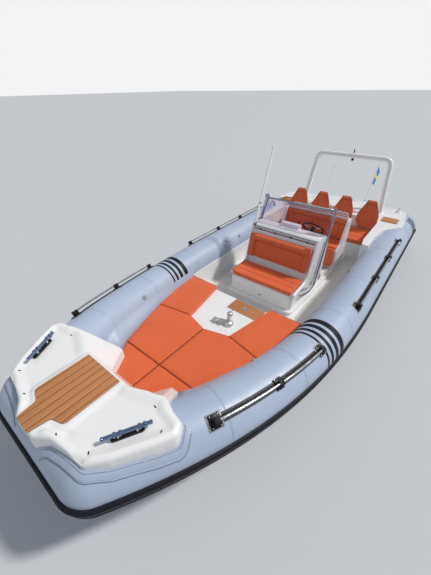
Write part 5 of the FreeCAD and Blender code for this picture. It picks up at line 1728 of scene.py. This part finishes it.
def make_camera():
    data = bpy.data.cameras.new("camera")
    data.sensor_width = 36.0
    data.lens = CAMERA_LENS
    data.clip_end = 500.0
    camera = placed("camera", data)
    rows = Matrix((CAMERA_RIGHT, CAMERA_UP, -CAMERA_AHEAD)).transposed().to_4x4()
    camera.matrix_world = Matrix.Translation(CAMERA_PLACE) @ rows
    bpy.context.scene.camera = camera


def sun(name, strength, place, degrees, colour):
    """A distant light from a place towards the origin, as wide as an angle."""
    data = bpy.data.lights.new(name, "SUN")
    data.energy = strength
    data.color = colour
    data.angle = math.radians(degrees)
    light = placed(name, data)
    light.location = place
    light.rotation_mode = "QUATERNION"
    light.rotation_quaternion = (-Vector(place)).to_track_quat("-Z", "Y")


def make_stage(colours):
    scene = bpy.context.scene
    scene.view_settings.view_transform = "Standard"
    make_camera()
    sun("sun", 2.95, (-5.5, 6.0, 9.0), 6, (1.0, 0.965, 0.92))
    sun("fill", 0.25, (6.0, -2.0, 7.0), 60, (0.93, 0.96, 1.0))

    # The room lights the boat softly, and shows paler to the camera
    world = bpy.data.worlds.new("soft_room")
    scene.world = world
    world.use_nodes = True
    tree = world.node_tree
    tree.nodes.clear()
    light, pale, rays, seen, mix, out = (tree.nodes.new("ShaderNode" + kind) for kind in (
        "Background", "Background", "LightPath", "Math", "MixShader", "OutputWorld"))
    for node, colour, strength in ((light, (0.86, 0.92, 1.0, 1), 0.4),
                                   (pale, (0.94, 0.95, 0.96, 1), 0.95)):
        node.inputs["Color"].default_value = colour
        node.inputs["Strength"].default_value = strength
    seen.operation = "MAXIMUM"
    for source, target in ((rays.outputs["Is Camera Ray"], seen.inputs[0]),
                           (rays.outputs["Is Transmission Ray"], seen.inputs[1]),
                           (seen.outputs[0], mix.inputs[0]), (light.outputs[0], mix.inputs[1]),
                           (pale.outputs[0], mix.inputs[2]), (mix.outputs[0], out.inputs[0])):
        tree.links.new(source, target)

    reach = 200.0
    corners = [(x, y, 0) for x, y in rectangle(-reach, reach, -reach, reach)]
    pale_floor = Finish("floor", colours.floor, 0.9).material
    floor = new_mesh("floor", corners, [(0, 1, 2, 3)], pale_floor)


# The finish of each carried node

NODE_FINISHES = {
    "gelcoat": ("hull", "bow_deck", "bow_locker", "console", "sole_plinth", "instrument_pod",
                "helm_seat", "aft_deck", "engine_hatch", "swim_platforms"),
    "tube": ("tube_port", "tube_starboard", "tube_bow"),
    "rubber": ("rub_strake", "tube_bands", "tube_end_caps"),
    "stainless": ("bow_cleats", "helm_rail", "tow_eye", "stern_eye_port", "stern_eye_starboard"),
    # The screen frame's dark steel is painted reflection
    "rail_steel": ("screen_frame",),
    "cast": ("anchor", "propeller_fore", "propeller_aft"),
    "screen": ("windscreen",),
    "plastic": ("steering_wheel", "wheel_column", "throttle", "hand_rails"),
    "white_paint": ("stern_hoop", "whip_aerial", "stern_lamp", "light_pole", "flag_staffs"),
    "engine_paint": ("engine",),
    "drive_paint": ("drive_mount", "drive_yoke", "drive_leg"),
    "teak": ("bow_teak", "aft_teak", "bow_locker_lid"),
    "upholstery": [node for node in NODES if "_pad" in node or node.startswith("aft_back")],
}


def dress_nodes():
    """Gives each carried node one finish all over."""
    for finish, nodes in NODE_FINISHES.items():
        for node in nodes:
            materials = NODES[node].data.materials
            materials.clear()
            materials.append(use(finish))


# Settings and operators

class BoatColours(bpy.types.PropertyGroup):
    gelcoat: FloatVectorProperty(name="Gelcoat", description="Hull, deck and console",
                                 default=(0.76, 0.765, 0.775), subtype="COLOR", min=0, max=1)
    deck: FloatVectorProperty(name="Sole", description="Non-skid panels of the cockpit sole",
                              default=(0.7, 0.675, 0.64), subtype="COLOR", min=0, max=1)
    tube: FloatVectorProperty(name="Tube", description="Fabric of the air tube",
                              default=(0.36, 0.43, 0.56), subtype="COLOR", min=0, max=1)
    rubber: FloatVectorProperty(name="Rubber", description="Rub strake and tube bands",
                                default=(0.009, 0.01, 0.016), subtype="COLOR", min=0, max=1)
    teak: FloatVectorProperty(name="Teak", description="Planks of the deck pads and steps",
                              default=(0.5, 0.21, 0.075), subtype="COLOR", min=0, max=1)
    upholstery: FloatVectorProperty(name="Upholstery", description="Cushions and seat pads",
                                    default=(0.66, 0.115, 0.03), subtype="COLOR", min=0, max=1)
    floor: FloatVectorProperty(name="Floor", description="The stage's floor",
                               default=(0.5, 0.52, 0.55), subtype="COLOR", min=0, max=1)


class BoatSizes(bpy.types.PropertyGroup):
    plank: FloatProperty(name="Plank width", description="Width of a teak plank with its caulk",
                         default=0.072, unit="LENGTH", min=0.03, max=0.2)


class BOAT_OT_finishes(bpy.types.Operator):
    """Makes every finish and gives the carried nodes theirs"""
    bl_idname = "boat.finishes"
    bl_label = "Finishes"

    def execute(self, context):
        Store.finishes = make_finishes(context.scene.boat_colours)
        dress_nodes()
        return {"FINISHED"}


class BOAT_OT_bow_cushions(bpy.types.Operator):
    """Makes the six cushions of the bow lounge"""
    bl_idname = "boat.bow_cushions"
    bl_label = "Bow cushions"

    def execute(self, context):
        make_bow_cushions()
        return {"FINISHED"}


class BOAT_OT_console_cushions(bpy.types.Operator):
    """Makes the bench and back pads in front of the console"""
    bl_idname = "boat.console_cushions"
    bl_label = "Console cushions"

    def execute(self, context):
        make_console_cushions()
        return {"FINISHED"}


class BOAT_OT_helm_cushions(bpy.types.Operator):
    """Makes the pads of the helm seat"""
    bl_idname = "boat.helm_cushions"
    bl_label = "Helm cushions"

    def execute(self, context):
        make_helm_cushions()
        return {"FINISHED"}


class BOAT_OT_aft_cushions(bpy.types.Operator):
    """Makes the aft bench pad and its four backs"""
    bl_idname = "boat.aft_cushions"
    bl_label = "Aft cushions"

    def execute(self, context):
        make_aft_cushions()
        return {"FINISHED"}


class BOAT_OT_teak(bpy.types.Operator):
    """Lays the teak planks of the bow and of the aft steps"""
    bl_idname = "boat.teak"
    bl_label = "Teak"

    def execute(self, context):
        make_teak(context.scene.boat_sizes)
        return {"FINISHED"}


class BOAT_OT_moulding(bpy.types.Operator):
    """Makes the white moulding of the bow with its drains"""
    bl_idname = "boat.moulding"
    bl_label = "Bow moulding"

    def execute(self, context):
        make_moulding()
        return {"FINISHED"}


class BOAT_OT_tube_trim(bpy.types.Operator):
    """Lays the tapes and valves on the air tube, with a dark welt of painted shadow beside the bow
    cushions
    """
    bl_idname = "boat.tube_trim"
    bl_label = "Tube trim"

    def execute(self, context):
        make_tube_trim()
        return {"FINISHED"}


class BOAT_OT_deck_gear(bpy.types.Operator):
    """Makes the cleats, anchor and locker lid of the bow"""
    bl_idname = "boat.deck_gear"
    bl_label = "Deck gear"

    def execute(self, context):
        make_cleat_pair()
        make_anchor_gear()
        make_locker_lid()
        return {"FINISHED"}


class BOAT_OT_hand_rails(bpy.types.Operator):
    """Makes the hand rails on the tube"""
    bl_idname = "boat.hand_rails"
    bl_label = "Hand rails"

    def execute(self, context):
        make_hand_rails()
        return {"FINISHED"}


class BOAT_OT_console(bpy.types.Operator):
    """Trims the console and its dash"""
    bl_idname = "boat.console"
    bl_label = "Console"

    def execute(self, context):
        make_console_trim()
        make_instruments()
        return {"FINISHED"}


class BOAT_OT_helm(bpy.types.Operator):
    """Makes the wheel, the throttle and the helm seat's fittings"""
    bl_idname = "boat.helm"
    bl_label = "Helm"

    def execute(self, context):
        make_wheel()
        make_throttle()
        make_helm_seat_trim()
        return {"FINISHED"}


class BOAT_OT_sole(bpy.types.Operator):
    """Lays the non-skid panels of the cockpit sole"""
    bl_idname = "boat.sole"
    bl_label = "Sole"

    def execute(self, context):
        make_sole()
        return {"FINISHED"}


class BOAT_OT_hoop(bpy.types.Operator):
    """Makes the stern hoop, its aerial and lamps and the light pole"""
    bl_idname = "boat.hoop"
    bl_label = "Hoop and lights"

    def execute(self, context):
        make_hoop()
        make_light_pole()
        return {"FINISHED"}


class BOAT_OT_flags(bpy.types.Operator):
    """Makes the two staffs and hangs their flags"""
    bl_idname = "boat.flags"
    bl_label = "Flags"

    def execute(self, context):
        make_staffs()
        make_flags()
        return {"FINISHED"}


class BOAT_OT_stern(bpy.types.Operator):
    """Adds fittings to the aft deck, the hatch and the drive"""
    bl_idname = "boat.stern"
    bl_label = "Stern"

    def execute(self, context):
        make_stern_trim()
        return {"FINISHED"}


class BOAT_OT_spray_rails(bpy.types.Operator):
    """Adds spray rails under the hull"""
    bl_idname = "boat.spray_rails"
    bl_label = "Spray rails"

    def execute(self, context):
        make_spray_rails()
        return {"FINISHED"}


class BOAT_OT_stage(bpy.types.Operator):
    """Makes the floor, the light and the camera"""
    bl_idname = "boat.stage"
    bl_label = "Stage"

    def execute(self, context):
        make_stage(context.scene.boat_colours)
        return {"FINISHED"}


OPERATORS = (
    BOAT_OT_finishes,
    BOAT_OT_bow_cushions,
    BOAT_OT_console_cushions,
    BOAT_OT_helm_cushions,
    BOAT_OT_aft_cushions,
    BOAT_OT_teak,
    BOAT_OT_moulding,
    BOAT_OT_tube_trim,
    BOAT_OT_deck_gear,
    BOAT_OT_hand_rails,
    BOAT_OT_console,
    BOAT_OT_helm,
    BOAT_OT_sole,
    BOAT_OT_hoop,
    BOAT_OT_flags,
    BOAT_OT_stern,
    BOAT_OT_spray_rails,
    BOAT_OT_stage,
)


class BOAT_PT_panel(bpy.types.Panel):
    """Lists the boat's operators and settings"""
    bl_idname = "BOAT_PT_panel"
    bl_label = "Boat"
    bl_space_type = "VIEW_3D"
    bl_region_type = "UI"
    bl_category = "Boat"

    def draw(self, context):
        for operator in OPERATORS:
            self.layout.operator(operator.bl_idname)
        for group in (context.scene.boat_sizes, context.scene.boat_colours):
            for name in group.__annotations__:
                self.layout.prop(group, name)


CLASSES = (BoatColours, BoatSizes) + OPERATORS + (BOAT_PT_panel,)


def register():
    for item in CLASSES:
        bpy.utils.register_class(item)
    bpy.types.Scene.boat_colours = PointerProperty(type=BoatColours)
    bpy.types.Scene.boat_sizes = PointerProperty(type=BoatSizes)


def unregister():
    del bpy.types.Scene.boat_sizes
    del bpy.types.Scene.boat_colours
    for item in reversed(CLASSES):
        bpy.utils.unregister_class(item)


def main():
    register()
    for operator in OPERATORS:
        group, name = operator.bl_idname.split(".")
        getattr(getattr(bpy.ops, group), name)()


if __name__ == "__main__":
    main()
